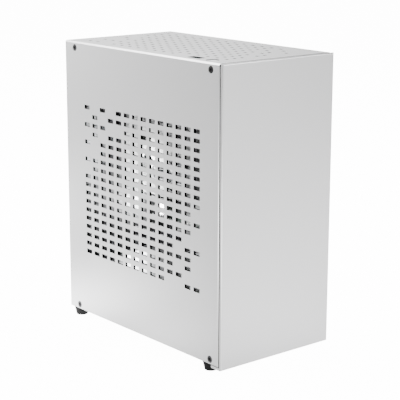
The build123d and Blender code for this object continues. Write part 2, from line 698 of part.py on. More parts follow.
CONTACT_X = CPU_X - CPU_T - CPU_LID_T
FIN_ROOT_X = CONTACT_X - CONTACT_T - FIN_PLATE_T
FIN_TIP_X = FIN_ROOT_X - FIN_H
FIN_PITCH = (COOLER_SIDE - FIN_T) / (FIN_COUNT - 1)
with BuildPart() as cooler_heatsink:
    with BuildSketch(flat_x(CONTACT_X)):
        with Locations((CPU_Y, CPU_Z)):
            Rectangle(CONTACT_SIDE, CONTACT_SIDE)
    extrude(amount=-CONTACT_T)
    with BuildSketch(flat_x(CONTACT_X - CONTACT_T)):
        with Locations((CPU_Y, CPU_Z)):
            Rectangle(COOLER_SIDE, COOLER_SIDE)
    extrude(amount=-FIN_PLATE_T)
    with BuildSketch(flat_x(FIN_ROOT_X)):
        with Locations((CPU_Y, CPU_Z)):
            with GridLocations(0, FIN_PITCH, 1, FIN_COUNT):
                Rectangle(COOLER_SIDE, FIN_T)
    extrude(amount=-FIN_H)
write(cooler_heatsink, "cooler_heatsink")


def fan_frame(size, depth, hub_r, shaft_r, blades):
    """Square fan housing with a duct, two crossed arms and a bored bearing plate, axis along +Z."""
    duct_r = size / 2 - FAN_WALL
    arm_t = depth / 5
    with BuildPart() as housing:
        with BuildSketch():
            Rectangle(size, size)
            RegularPolygon(duct_r, DUCT_SIDES, mode=Mode.SUBTRACT)
        extrude(amount=depth)
        with BuildSketch():
            RegularPolygon(hub_r, 2 * blades)
            with PolarLocations(0, 2, start_angle=45, angular_range=180):
                Rectangle(2 * duct_r + FAN_WALL, arm_t)
            RegularPolygon(shaft_r + SHAFT_CLEAR, BORE_SIDES, major_radius=False, mode=Mode.SUBTRACT)
        extrude(amount=arm_t)
    return housing


def fan_rotor(size, depth, hub_r, shaft_r, blades):
    """Faceted hub with a shaft and one pitched blade on every second facet, axis along +Z."""
    tip_r = (size / 2 - FAN_WALL) * DUCT_FILL
    low, high = depth * HUB_LOW, depth * HUB_HIGH
    with BuildPart() as blade:
        with BuildSketch(Plane((hub_r * BLADE_ROOT, 0, (low + high) / 2), x_dir=(0, 1, 0), z_dir=(1, 0, 0))):
            Rectangle(hub_r * BLADE_CHORD, size / 60, rotation=BLADE_PITCH)
        extrude(amount=tip_r - hub_r * BLADE_ROOT)
    with BuildPart() as wheel:
        with BuildSketch(Plane.XY.offset(low)):
            RegularPolygon(hub_r, 2 * blades)
        extrude(amount=high - low)
        with PolarLocations(0, blades):
            add(blade.part)
        with BuildSketch(Plane.XY.offset(low)):
            Circle(shaft_r)
        extrude(amount=SHAFT_END - low)
    return wheel


# Cooler fan on the fins, blowing towards the board
cooler_fan_plane = Plane((FIN_TIP_X, CPU_Y, CPU_Z), z_dir=(-1, 0, 0))
cooler_frame_at_origin = fan_frame(**COOLER_FAN)
cooler_rotor_at_origin = fan_rotor(**COOLER_FAN)
with BuildPart() as cooler_fan_frame:
    with Locations(cooler_fan_plane):
        add(cooler_frame_at_origin.part)
write(cooler_fan_frame, "cooler_fan_frame")

with BuildPart() as cooler_fan_rotor:
    with Locations(cooler_fan_plane):
        add(cooler_rotor_at_origin.part)
write(cooler_fan_rotor, "cooler_fan_rotor")

# Memory slots and the two modules that stand in them
with BuildPart() as memory_slots:
    with BuildSketch(flat_x(BOARD_X)):
        with Locations(*[(y, DIMM_Z) for y in DIMM_Y]):
            Rectangle(DIMM_SLOT[0], DIMM_SLOT[1])
    extrude(amount=-DIMM_SLOT[2])
    with BuildSketch(flat_x(BOARD_X - DIMM_SLOT[2])):
        with Locations(*[(y, DIMM_Z) for y in DIMM_Y]):
            Rectangle(DIMM[0], DIMM[1])
    extrude(amount=DIMM_SEAT, mode=Mode.SUBTRACT)
write(memory_slots, "memory_slots")

for label, y in zip(("memory_module_front", "memory_module_rear"), DIMM_Y):
    with BuildPart() as memory_module:
        with BuildSketch(flat_x(BOARD_X - DIMM_SLOT[2] + DIMM_SEAT)):
            with Locations((y, DIMM_Z)):
                Rectangle(DIMM[0], DIMM[1])
        extrude(amount=-DIMM[2])
    write(memory_module, label)

# Main power socket, the plug in it, expansion slot, chipset cooler and front lead plug
with BuildPart() as main_power_socket:
    with BuildSketch(flat_x(BOARD_X)):
        with Locations((POWER_Y, POWER_Z)):
            Rectangle(POWER_SOCKET[0], POWER_SOCKET[1])
    extrude(amount=-POWER_SOCKET[2])
    with BuildSketch(flat_x(BOARD_X - POWER_SOCKET[2])):
        with Locations((POWER_Y, POWER_Z)):
            Rectangle(POWER_SOCKET[0] - 2 * POWER_WALL, POWER_SOCKET[1] - 2 * POWER_WALL)
    extrude(amount=POWER_POCKET_D, mode=Mode.SUBTRACT)
write(main_power_socket, "main_power_socket")

with BuildPart() as main_power_plug:
    with BuildSketch(flat_x(BOARD_X - POWER_SOCKET[2])):
        with Locations((POWER_Y, POWER_Z)):
            Rectangle(POWER_SOCKET[0] - 2 * POWER_WALL, POWER_SOCKET[1] - 2 * POWER_WALL)
    extrude(amount=POWER_POCKET_D)
    with BuildSketch(flat_x(BOARD_X - POWER_SOCKET[2])):
        with Locations((POWER_Y, POWER_Z)):
            Rectangle(POWER_SOCKET[0], POWER_SOCKET[1])
    extrude(amount=-POWER_PLUG_L)
write(main_power_plug, "main_power_plug")

with BuildPart() as expansion_slot:
    with BuildSketch(flat_x(BOARD_X)):
        with Locations((PCIE_Y, PCIE_Z)):
            Rectangle(PCIE_SLOT[0], PCIE_SLOT[1])
    extrude(amount=-PCIE_SLOT[2])
    with BuildSketch(flat_x(BOARD_X - PCIE_SLOT[2])):
        with Locations((PCIE_Y, PCIE_Z)):
            Rectangle(PCIE_GROOVE[0], PCIE_GROOVE[1])
    extrude(amount=PCIE_GROOVE[2], mode=Mode.SUBTRACT)
write(expansion_slot, "expansion_slot")

with BuildPart() as chipset_heatsink:
    with BuildSketch(flat_x(BOARD_X)):
        with Locations((CHIPSET_Y, CHIPSET_Z)):
            Rectangle(CHIPSET_SIDE, CHIPSET_SIDE)
    extrude(amount=-CHIPSET_BASE)
    with BuildSketch(flat_x(BOARD_X - CHIPSET_BASE)):
        with Locations((CHIPSET_Y, CHIPSET_Z)):
            with GridLocations(0, (CHIPSET_SIDE - FIN_T) / (CHIPSET_FINS - 1), 1, CHIPSET_FINS):
                Rectangle(CHIPSET_SIDE, FIN_T)
    extrude(amount=-CHIPSET_FIN_H)
write(chipset_heatsink, "chipset_heatsink")

with BuildPart() as front_lead_plug:
    with BuildSketch(flat_x(BOARD_X)):
        with Locations((HEADER_Y, HEADER_Z)):
            Rectangle(HEADER_PLUG[0], HEADER_PLUG[1])
    extrude(amount=-HEADER_PLUG[2])
write(front_lead_plug, "front_lead_plug")

# Solid-state drive on the back of the front frame
with BuildPart() as ssd_drive:
    with BuildSketch(flat_y(Y_FRAME)):
        with Locations((0, DRIVE_Z)):
            Rectangle(DRIVE[0], DRIVE[1])
    extrude(amount=-DRIVE[2])
write(ssd_drive, "ssd_drive")

# Rear sockets, standing on the board with their mouths at the back
for label, z in USB_PAIR_Z.items():
    with BuildPart() as usb_pair:
        pair_x = BOARD_X - USB_PAIR["rise"] / 2
        with BuildSketch(flat_y(PORT_FACE_Y)):
            with Locations((pair_x, z)):
                Rectangle(USB_PAIR["rise"], USB_PAIR["width"])
        extrude(amount=USB_PAIR["depth"])
        with BuildSketch(flat_y(PORT_FACE_Y)):
            with Locations((pair_x, z)):
                with GridLocations(USB_PAIR_PITCH, 0, 2, 1):
                    Rectangle(USB_MOUTH[1], USB_MOUTH[0])
        extrude(amount=PORT_TIP, mode=Mode.SUBTRACT)
        with BuildSketch(flat_y(PORT_FACE_Y - PORT_TIP)):
            with Locations((pair_x, z)):
                with GridLocations(USB_PAIR_PITCH, 0, 2, 1):
                    Rectangle(USB_MOUTH[1], USB_MOUTH[0])
                    with Locations((TONGUE_SHIFT, 0)):
                        Rectangle(USB_PAIR_TONGUE[1], USB_PAIR_TONGUE[0], mode=Mode.SUBTRACT)
        extrude(amount=USB_MOUTH_D - PORT_TIP, mode=Mode.SUBTRACT)
    write(usb_pair, label)

with BuildPart() as lan_jack:
    lan_x = BOARD_X - LAN["rise"] / 2
    with BuildSketch(flat_y(PORT_FACE_Y)):
        with Locations((lan_x, LAN_Z)):
            Rectangle(LAN["rise"], LAN["width"])
    extrude(amount=LAN["depth"])
    with BuildSketch(flat_y(PORT_FACE_Y)):
        with Locations((lan_x, LAN_Z)):
            Rectangle(LAN_MOUTH[1], LAN_MOUTH[0])
            with Locations((-(LAN_MOUTH[1] + LAN_LATCH[1]) / 2, 0)):
                Rectangle(LAN_LATCH[1], LAN_LATCH[0])
    extrude(amount=LAN_MOUTH_D, mode=Mode.SUBTRACT)
write(lan_jack, "lan_jack")

with BuildPart() as display_socket:
    display_x = BOARD_X - DISPLAY["rise"] / 2
    with BuildSketch(flat_y(PORT_FACE_Y)):
        with Locations((display_x, DISPLAY_Z)):
            Rectangle(DISPLAY["rise"], DISPLAY["width"])
    extrude(amount=DISPLAY["depth"])
    with BuildSketch(flat_y(PORT_FACE_Y)):
        with Locations((display_x, DISPLAY_Z)):
            Rectangle(DISPLAY_MOUTH[1], DISPLAY_MOUTH[0])
            Rectangle(DISPLAY_TONGUE[1], DISPLAY_TONGUE[0], mode=Mode.SUBTRACT)
    extrude(amount=DISPLAY_MOUTH_D, mode=Mode.SUBTRACT)
write(display_socket, "display_socket")

with BuildPart() as audio_jacks:
    audio_x = BOARD_X - AUDIO["rise"] / 2
    with BuildSketch(flat_y(PORT_FACE_Y - AUDIO_SET_BACK)):
        with Locations((audio_x, AUDIO_Z)):
            Rectangle(AUDIO["rise"], AUDIO["width"])
    extrude(amount=AUDIO["depth"])
    with BuildSketch(flat_y(PORT_FACE_Y)):
        with Locations((audio_x, AUDIO_Z)):
            with GridLocations(AUDIO_PITCH, 0, 3, 1):
                RegularPolygon(AUDIO_BARREL_R, AUDIO_SIDES)
    extrude(amount=AUDIO_SET_BACK)
    with BuildSketch(flat_y(PORT_FACE_Y)):
        with Locations((audio_x, AUDIO_Z)):
            with GridLocations(AUDIO_PITCH, 0, 3, 1):
                RegularPolygon(AUDIO_BORE_R, AUDIO_SIDES)
    extrude(amount=AUDIO_BORE_D, mode=Mode.SUBTRACT)
write(audio_jacks, "audio_jacks")

# Shield pressed against the inside of the rear panel, cut out round each socket
with BuildPart() as io_shield:
    with BuildSketch(flat_y(Y_WALL)):
        with Locations((SHIELD_X, SHIELD_Z)):
            Rectangle(SHIELD_OPENING[0] + 2 * SHIELD_LAP, SHIELD_OPENING[1] + 2 * SHIELD_LAP)
        for port, heights in (
            (USB_PAIR, USB_PAIR_Z.values()),
            (LAN, (LAN_Z,)),
            (DISPLAY, (DISPLAY_Z,)),
        ):
            with Locations(*[(BOARD_X - port["rise"] / 2, z) for z in heights]):
                Rectangle(port["rise"] + 2 * PORT_GAP, port["width"] + 2 * PORT_GAP, mode=Mode.SUBTRACT)
        with Locations((BOARD_X - AUDIO["rise"] / 2, AUDIO_Z)):
            with GridLocations(AUDIO_PITCH, 0, 3, 1):
                RegularPolygon(AUDIO_BARREL_R + PORT_GAP, AUDIO_SIDES, mode=Mode.SUBTRACT)
    extrude(amount=SHIELD_T)
write(io_shield, "io_shield")

# Power supply: open-topped case with a slotted fan grille, and its cover
with BuildPart() as psu_case:
    with BuildSketch(Plane.XY.offset(PSU_Z[0])):
        with Locations((middle(PSU_X), middle(PSU_Y))):
            Rectangle(length(PSU_X), length(PSU_Y))
    extrude(amount=PSU_H - PSU_WALL)
    offset(amount=-PSU_WALL, openings=psu_case.faces().sort_by(Axis.Z)[-1])
    with BuildSketch(flat_y(PSU_Y[1])):
        with Locations((PSU_FAN_X, PSU_MID_Z)):
            for index in range(PSU_GRILLE_SLOTS):
                rise = (index - (PSU_GRILLE_SLOTS - 1) / 2) * PSU_GRILLE_PITCH
                reach = 2 * math.sqrt(PSU_GRILLE_R**2 - rise**2)
                with Locations((0, rise)):
                    Rectangle(reach, PSU_GRILLE_W)
        with Locations((INLET_X, PSU_MID_Z)):
            Rectangle(INLET_BODY[0], INLET_BODY[1])
        with Locations(*[(x, z) for x in PSU_SCREW_X for z in PSU_SCREW_Z]):
            RegularPolygon(SCREW_R + TAP_CLEAR, SHANK_SIDES)
    extrude(amount=PSU_WALL, mode=Mode.SUBTRACT)
    with BuildSketch(Plane.XY.offset(PSU_Z[0] + PSU_WALL)):
        with Locations((middle(PSU_BOARD_X), middle(PSU_BOARD_Y))):
            with GridLocations(length(PSU_BOARD_X) * 0.8, 0, 2, 1):
                Rectangle(RAIL_UNDER_BOARD[0], length(PSU_BOARD_Y))
    extrude(amount=RAIL_UNDER_BOARD[1])
write(psu_case, "psu_case")

with BuildPart() as psu_cover:
    with BuildSketch(Plane.XY.offset(PSU_Z[1] - PSU_WALL)):
        with Locations((middle(PSU_X), middle(PSU_Y))):
            Rectangle(length(PSU_X), length(PSU_Y))
    extrude(amount=PSU_WALL)
write(psu_cover, "psu_cover")

with BuildPart() as psu_screws:
    with Locations(*psu_screw_planes):
        add(psu_screw.part)
write(psu_screws, "psu_screws")

# Power supply fan behind the grille, blowing out of the back
psu_fan_plane = Plane((PSU_FAN_X, PSU_Y[1] - PSU_WALL, PSU_MID_Z), z_dir=(0, -1, 0))
psu_frame_at_origin = fan_frame(**PSU_FAN)
psu_rotor_at_origin = fan_rotor(**PSU_FAN)
with BuildPart() as psu_fan_frame:
    with Locations(psu_fan_plane):
        add(psu_frame_at_origin.part)
write(psu_fan_frame, "psu_fan_frame")

with BuildPart() as psu_fan_rotor:
    with Locations(psu_fan_plane):
        add(psu_rotor_at_origin.part)
write(psu_fan_rotor, "psu_fan_rotor")

# Mains inlet with its keyed mouth and three contact blades
INLET_FACE_Y = PSU_Y[1] + INLET_FLANGE[2]
with BuildPart() as power_inlet:
    with BuildSketch(flat_y(INLET_FACE_Y)):
        with Locations((INLET_X, PSU_MID_Z)):
            Rectangle(INLET_FLANGE[0], INLET_FLANGE[1])
    extrude(amount=INLET_FLANGE[2])
    with BuildSketch(flat_y(PSU_Y[1])):
        with Locations((INLET_X, PSU_MID_Z)):
            Rectangle(INLET_BODY[0], INLET_BODY[1])
    extrude(amount=INLET_BODY[2])
    with BuildSketch(flat_y(INLET_FACE_Y)) as mouth:
        with Locations((INLET_X, PSU_MID_Z)):
            Rectangle(*INLET_MOUTH)
        chamfer(mouth.vertices().group_by(Axis.Y)[-1], INLET_CORNER)
    extrude(amount=INLET_MOUTH_D, mode=Mode.SUBTRACT)
write(power_inlet, "power_inlet")

with BuildPart() as inlet_pins:
    with BuildSketch(flat_y(INLET_FACE_Y - INLET_MOUTH_D)):
        with Locations(
            (INLET_X - PIN_SPREAD, PSU_MID_Z - PIN_STEP),
            (INLET_X + PIN_SPREAD, PSU_MID_Z - PIN_STEP),
            (INLET_X, PSU_MID_Z + PIN_STEP),
        ):
            Rectangle(PIN[0], PIN[1])
    extrude(amount=-PIN[2])
write(inlet_pins, "inlet_pins")

# Inside the power supply: board on its rails, transformer and capacitor
PSU_BOARD_Z = PSU_Z[0] + PSU_WALL + RAIL_UNDER_BOARD[1]
with BuildPart() as psu_board:
    with BuildSketch(Plane.XY.offset(PSU_BOARD_Z)):
        with Locations((middle(PSU_BOARD_X), middle(PSU_BOARD_Y))):
            Rectangle(length(PSU_BOARD_X), length(PSU_BOARD_Y))
    extrude(amount=BOARD_T)
write(psu_board, "psu_board")

with BuildPart() as psu_transformer:
    with BuildSketch(Plane.XY.offset(PSU_BOARD_Z + BOARD_T)):
        with Locations(TRANSFORMER_XY):
            Rectangle(TRANSFORMER[0], TRANSFORMER[1])
    extrude(amount=TRANSFORMER[2])
write(psu_transformer, "psu_transformer")

with BuildPart() as psu_capacitor:
    with BuildSketch(Plane.XY.offset(PSU_BOARD_Z + BOARD_T)):
        with Locations(CAPACITOR_XY):
            RegularPolygon(CAPACITOR_R, CAPACITOR_SIDES)
    extrude(amount=CAPACITOR_H)
write(psu_capacitor, "psu_capacitor")

# Flat main lead from the power supply up to its plug
main_lead_route = (
    (MAIN_LEAD_X, PSU_Y[0], MAIN_LEAD_Z),
    (MAIN_LEAD_X, POWER_Y, MAIN_LEAD_Z),
    (MAIN_LEAD_X, POWER_Y, POWER_Z),
    (BOARD_X - POWER_SOCKET[2] - POWER_PLUG_L, POWER_Y, POWER_Z),
)
with BuildPart() as main_power_lead:
    with BuildLine():
        FilletPolyline(*main_lead_route, radius=MAIN_LEAD_BENDS)
    with BuildSketch(flat_y(PSU_Y[0])):
        with Locations((MAIN_LEAD_X, MAIN_LEAD_Z)):
            Rectangle(*MAIN_LEAD)
    sweep()
write(main_power_lead, "main_power_lead")

# Thin lead from the small lid board down to the board header
front_lead_route = (
    (FRONT_LEAD_X, FRONT_LEAD_Y, IO_BOARD_Z - IO_BOARD_T),
    (FRONT_LEAD_X, FRONT_LEAD_Y, HEADER_Z),
    (BOARD_X - HEADER_PLUG[2] / 2, FRONT_LEAD_Y, HEADER_Z),
    (BOARD_X - HEADER_PLUG[2] / 2, HEADER_Y - HEADER_PLUG[0] / 2, HEADER_Z),
)
with BuildPart() as front_lead:
    with BuildLine():
        FilletPolyline(*front_lead_route, radius=FRONT_LEAD_BENDS)
    with BuildSketch(Plane.XY.offset(IO_BOARD_Z - IO_BOARD_T)):
        with Locations((FRONT_LEAD_X, FRONT_LEAD_Y)):
            Rectangle(*FRONT_LEAD)
    sweep()
write(front_lead, "front_lead")
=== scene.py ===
"""Studio picture of a small silver computer tower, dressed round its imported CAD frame."""
import json
import math

import bmesh
import bpy
import numpy as np
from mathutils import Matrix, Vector


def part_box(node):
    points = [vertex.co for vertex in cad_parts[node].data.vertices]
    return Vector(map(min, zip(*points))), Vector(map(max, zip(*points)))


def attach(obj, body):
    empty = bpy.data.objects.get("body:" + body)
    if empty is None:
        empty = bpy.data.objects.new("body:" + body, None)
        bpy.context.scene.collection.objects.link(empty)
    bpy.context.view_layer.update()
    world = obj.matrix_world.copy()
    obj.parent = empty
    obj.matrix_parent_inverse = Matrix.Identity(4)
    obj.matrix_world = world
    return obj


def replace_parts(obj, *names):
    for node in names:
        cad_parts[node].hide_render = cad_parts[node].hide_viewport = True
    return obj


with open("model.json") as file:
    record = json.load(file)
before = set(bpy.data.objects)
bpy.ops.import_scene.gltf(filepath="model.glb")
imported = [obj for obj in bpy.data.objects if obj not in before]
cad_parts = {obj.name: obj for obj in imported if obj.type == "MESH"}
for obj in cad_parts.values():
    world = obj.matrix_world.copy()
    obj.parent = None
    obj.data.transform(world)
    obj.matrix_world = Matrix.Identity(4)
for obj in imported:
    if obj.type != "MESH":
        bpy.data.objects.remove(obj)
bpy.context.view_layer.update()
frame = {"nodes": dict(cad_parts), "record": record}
NODES = frame["nodes"]
MM = 0.001
WELD_GAP = 1e-6
TURN = 2 * math.pi

# Places that the CAD boxes don't give, in millimetres
PANEL_SCREW_Y = (-90.4, 89.7)
PANEL_SCREW_Z = (12.0, 240.2)
PSU_SCREW_X = (-33.0, 0.9)
PSU_SCREW_Z = (13.5, 45.0)
FOOT_X = (-50.8, 50.8)
FOOT_Y = (-83.3, 96.8)
BOARD_FACE = 45.65
SHIELD_FACE = 103.8
LID_CONTACT_ASIDE, LID_CONTACT_Z = 0.06, 238.6
USB_PAIR_X, USB_PAIR_Z = 37.65, (86.0, 178.0)
NETWORK_Z = 118.0
AUDIO_X, AUDIO_PITCH, AUDIO_Z = 29.15, 10.6, 207.0
MEMORY_X, MEMORY_Y, MEMORY_Z = 28.2, (-50.0, -39.0), 152.0
MAIN_ROUTE = [(0, -47.2, 32), (0, -63, 32), (0, -63, 176), (23.65, -63, 176)]
FRONT_ROUTE = [(-47, -84, 229.9), (-47, -84, 74), (41.65, -84, 74), (41.65, -67, 74)]


# Surfaces


def grid_quads(rows, cols):
    """Quads between neighbours on a rows by cols grid whose last column joins the first."""
    row = np.arange(rows - 1)[:, None]
    col = np.arange(cols)[None, :]
    after = (col + 1) % cols
    corners = (row * cols + col, row * cols + after, (row + 1) * cols + after, (row + 1) * cols + col)
    return np.stack(corners, -1).reshape(-1, 4)


def turned(profile, sides):
    """Surface of revolution: every profile point (radius, height) carried round Z by equal angles."""
    radius, height = np.asarray(profile, float).T
    angle = np.linspace(0, TURN, sides, endpoint=False)[None, :]
    x = radius[:, None] * np.cos(angle)
    y = radius[:, None] * np.sin(angle)
    z = np.broadcast_to(height[:, None], x.shape)
    return np.stack([x, y, z], -1)


def arc(centre, radius, start, end, steps):
    """Points on a circle round centre from the start to the end angle, in degrees."""
    angle = np.radians(np.linspace(start, end, steps))
    return list(zip(centre[0] + radius * np.cos(angle), centre[1] + radius * np.sin(angle)))


def soft_block(size, power, rows=13, cols=32):
    """Rounded block: a superellipsoid, |x/a|^p + |y/b|^p + |z/c|^p = 1, from latitude and longitude."""
    lat = np.linspace(-math.pi / 2, math.pi / 2, rows)[:, None]
    lon = np.linspace(0, TURN, cols, endpoint=False)[None, :]
    direction = np.stack(np.broadcast_arrays(
        np.cos(lat) * np.cos(lon), np.cos(lat) * np.sin(lon), np.sin(lat) + 0 * lon), -1)
    reach = (np.abs(direction) ** power).sum(-1, keepdims=True) ** (-1 / power)
    return direction * reach * np.asarray(size) / 2


def smooth_step(value):
    """Cubic ease from 0 to 1."""
    value = np.clip(value, 0, 1)
    return value * value * (3 - 2 * value)


def frames(origins, x_axis=(1, 0, 0), y_axis=(0, 1, 0), z_axis=(0, 0, 1)):
    """Places for copies of a surface: one set of axes at each origin, given in millimetres."""
    axes = np.array([x_axis, y_axis, z_axis], float)
    return [(axes, np.array(origin, float) * MM) for origin in origins]


def middle_of(node):
    """Middle of a CAD node's box, in millimetres."""
    return np.mean(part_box(node), axis=0) / MM


def top_of(node):
    """Highest corner of a CAD node's box, in millimetres."""
    return np.array(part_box(node)[1]) / MM


def piece(name, surfaces, material, body, sharp=40.0):
    """Object made of grids (points, places), each copied to its places, welded and turned outwards."""
    verts, faces, start = [], [], 0
    for points, places in surfaces:
        quads = grid_quads(points.shape[0], points.shape[1])
        flat = points.reshape(-1, 3) * MM
        for axes, origin in places:
            verts.append(flat @ axes + origin)
            faces.append(quads + start)
            start += len(flat)
    verts, faces = np.concatenate(verts), np.concatenate(faces)
    mesh = bpy.data.meshes.new(name)
    mesh.vertices.add(len(verts))
    mesh.vertices.foreach_set("co", verts.astype(np.float32).ravel())
    mesh.loops.add(faces.size)
    mesh.loops.foreach_set("vertex_index", faces.astype(np.int32).ravel())
    mesh.polygons.add(len(faces))
    mesh.polygons.foreach_set("loop_start", np.arange(0, faces.size, 4, dtype=np.int32))
    mesh.update(calc_edges=True)
    shell = bmesh.new()
    shell.from_mesh(mesh)
    bmesh.ops.remove_doubles(shell, verts=shell.verts, dist=WELD_GAP)
    bmesh.ops.recalc_face_normals(shell, faces=shell.faces)
    shell.to_mesh(mesh)
    shell.free()
    mesh.polygons.foreach_set("use_smooth", np.ones(len(mesh.polygons), bool))
    mesh.set_sharp_from_angle(angle=math.radians(sharp))
    mesh.materials.append(material)
    obj = bpy.data.objects.new(name, mesh)
    bpy.context.scene.collection.objects.link(obj)
    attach(obj, body)
    return obj


# Shader nodes


def new_group(name, inputs, outputs):
    """Empty shader group with value, colour or vector sockets; returns it with its input and output nodes."""
    group = bpy.data.node_groups.new(name, "ShaderNodeTree")
    kinds = {"value": "NodeSocketFloat", "colour": "NodeSocketColor", "vector": "NodeSocketVector"}
    for label, kind, default in inputs:
        socket = group.interface.new_socket(label, in_out="INPUT", socket_type=kinds[kind])
        socket.default_value = default
    for label, kind in outputs:
        group.interface.new_socket(label, in_out="OUTPUT", socket_type=kinds[kind])
    return group, group.nodes.new("NodeGroupInput"), group.nodes.new("NodeGroupOutput")


def feed(tree, socket, value):
    """Give a socket its value: a link from another socket, or a constant."""
    if hasattr(value, "is_linked"):
        tree.links.new(value, socket)
    else:
        socket.default_value = value


def maths(tree, operation, *values):
    """Math node on sockets or numbers; returns its output."""
    node = tree.nodes.new("ShaderNodeMath")
    node.operation = operation
    for socket, value in zip(node.inputs, values):
        feed(tree, socket, value)
    return node.outputs[0]


def vector_maths(tree, operation, *values):
    """Vector Math node on sockets or vectors; returns its number or its vector, whichever it works out."""
    node = tree.nodes.new("ShaderNodeVectorMath")
    node.operation = operation
    for socket, value in zip(node.inputs, values):
        feed(tree, socket, value)
    return node.outputs["Value" if operation in ("DOT_PRODUCT", "DISTANCE") else "Vector"]


def noise(tree, scale, detail, vector):
    """Noise texture; returns its value."""
    node = tree.nodes.new("ShaderNodeTexNoise")
    for label, value in (("Scale", scale), ("Detail", detail), ("Vector", vector)):
        feed(tree, node.inputs[label], value)
    return node.outputs["Fac"]


def mixed(tree, factor, first, second, blend="MIX"):
    """Colour mix of two sockets or colours; returns the colour."""
    node = tree.nodes.new("ShaderNodeMix")
    node.data_type = "RGBA"
    node.blend_type = blend
    for index, value in ((0, factor), (6, first), (7, second)):
        feed(tree, node.inputs[index], value)
    return node.outputs[2]


def between(tree, factor, first, second):
    """Number between two sockets or numbers; returns it."""
    node = tree.nodes.new("ShaderNodeMix")
    for index, value in ((0, factor), (2, first), (3, second)):
        feed(tree, node.inputs[index], value)
    return node.outputs[0]


def surface_coords(tree, kind="Object"):
    """Object coordinates or object-space normal of the surface."""
    return tree.nodes.new("ShaderNodeTexCoord").outputs[kind]


def stretched(tree, scale, place=(0, 0, 0)):
    """Object coordinates moved so that place is the origin, then stretched along the three axes."""
    node = tree.nodes.new("ShaderNodeMapping")
    node.vector_type = "TEXTURE"
    tree.links.new(surface_coords(tree), node.inputs["Vector"])
    node.inputs["Location"].default_value = place
    node.inputs["Scale"].default_value = scale
    return node.outputs["Vector"]


# Shared effects


FINE_SHARE = 0.6
WALL_LEAN = 0.4
EDGE_LEAN, EDGE_RANGE = 0.72, 0.2


def grain_group():
    """Fine grain: two noises make a tone, a roughness and a height that vary over the surface."""
    group, given, made = new_group(
        "fine_grain",
        [("Colour", "colour", (0.8, 0.8, 0.8, 1)), ("Grain Scale", "value", 1800.0),
         ("Cloud Scale", "value", 14.0), ("Tone Range", "value", 0.05),
         ("Roughness", "value", 0.45), ("Roughness Range", "value", 0.08)],
        [("Colour", "colour"), ("Roughness", "value"), ("Height", "value")])
    where = surface_coords(group)
    fine = noise(group, given.outputs["Grain Scale"], 3.0, where)
    cloud = noise(group, given.outputs["Cloud Scale"], 2.0, where)
    fine_part = maths(group, "MULTIPLY", fine, FINE_SHARE)
    cloud_part = maths(group, "MULTIPLY", cloud, 1 - FINE_SHARE)
    centred = maths(group, "SUBTRACT", maths(group, "ADD", fine_part, cloud_part), 0.5)
    tone = maths(group, "MULTIPLY_ADD", centred, given.outputs["Tone Range"], 1.0)
    grey = group.nodes.new("ShaderNodeCombineColor")
    for socket in grey.inputs:
        group.links.new(tone, socket)
    colour = mixed(group, 1.0, given.outputs["Colour"], grey.outputs[0], "MULTIPLY")
    spread = maths(group, "MULTIPLY_ADD", centred, given.outputs["Roughness Range"],
                   given.outputs["Roughness"])
    for socket, value in zip(made.inputs, (colour, spread, fine)):
        group.links.new(value, socket)
    return group


def cut_edge_group():
    """Masks from the angle between a surface and its sheet's face. Cut walls stand square to the face,
    inside a box round the sheet's middle that leaves out its rim. Broken edges lean half way."""
    group, given, made = new_group(
        "cut_edges",
        [("Face", "vector", (1, 0, 0)), ("Middle", "vector", (0, 0, 0)), ("Reach", "vector", (1, 1, 1))],
        [("Walls", "value"), ("Edges", "value")])
    lean = vector_maths(group, "DOT_PRODUCT", surface_coords(group, "Normal"), given.outputs["Face"])
    facing = maths(group, "ABSOLUTE", lean)
    away = vector_maths(group, "SUBTRACT", surface_coords(group), given.outputs["Middle"])
    share = vector_maths(group, "DIVIDE", vector_maths(group, "ABSOLUTE", away), given.outputs["Reach"])
    parts = group.nodes.new("ShaderNodeSeparateXYZ")
    group.links.new(share, parts.inputs[0])
    furthest = maths(group, "MAXIMUM", parts.outputs[0],
                     maths(group, "MAXIMUM", parts.outputs[1], parts.outputs[2]))
    square = maths(group, "LESS_THAN", facing, WALL_LEAN)
    walls = maths(group, "MULTIPLY", square, maths(group, "LESS_THAN", furthest, 1.0))
    group.links.new(walls, made.inputs["Walls"])
    group.links.new(maths(group, "COMPARE", facing, EDGE_LEAN, EDGE_RANGE), made.inputs["Edges"])
    return group


def drawn_line_group():
    """Lines left by drawing or rolling: noise that is stretched along one axis and sharpened."""
    group, given, made = new_group(
        "drawn_lines", [("Coordinates", "vector", (0, 0, 0))], [("Lines", "value")])
    lines = noise(group, 1.0, 4.0, given.outputs["Coordinates"])
    steep = maths(group, "MULTIPLY_ADD", lines, 2.4, -0.7)
    kept = maths(group, "MINIMUM", maths(group, "MAXIMUM", steep, 0.0), 1.0)
    group.links.new(kept, made.inputs["Lines"])
    return group


GRAIN = grain_group()
CUT_EDGES = cut_edge_group()
DRAWN_LINES = drawn_line_group()


# Finishes


SATIN, SATIN_ROUGHNESS = (0.70, 0.70, 0.705), 0.46
# Broken edges: lighter tones that are painted highlight, with a smoother roughness.
PANEL_EDGE_HIGHLIGHT, FRONT_EDGE_HIGHLIGHT, EDGE_ROUGHNESS = 0.78, 0.9, 0.3
# Slot walls: a near-black colour that is painted shade for the dark inside of the case, with a smooth
# roughness.
PAINTED_SLOT_SHADE, WALL_ROUGHNESS = (0.05, 0.05, 0.052), 0.12
SHEET_RIM = 0.3
LINE_TONE, LINE_ROUGHER = 0.72, 0.12
TRACE_GAP, TRACE_EDGE, PAD_R = 0.47, 0.72, 0.16
RELIEF_DEPTH = 0.1
RING_PITCH = 0.3


def effect(material, group):
    """Place a shared effect in a material."""
    node = material.node_tree.nodes.new("ShaderNodeGroup")
    node.node_tree = group
    return node


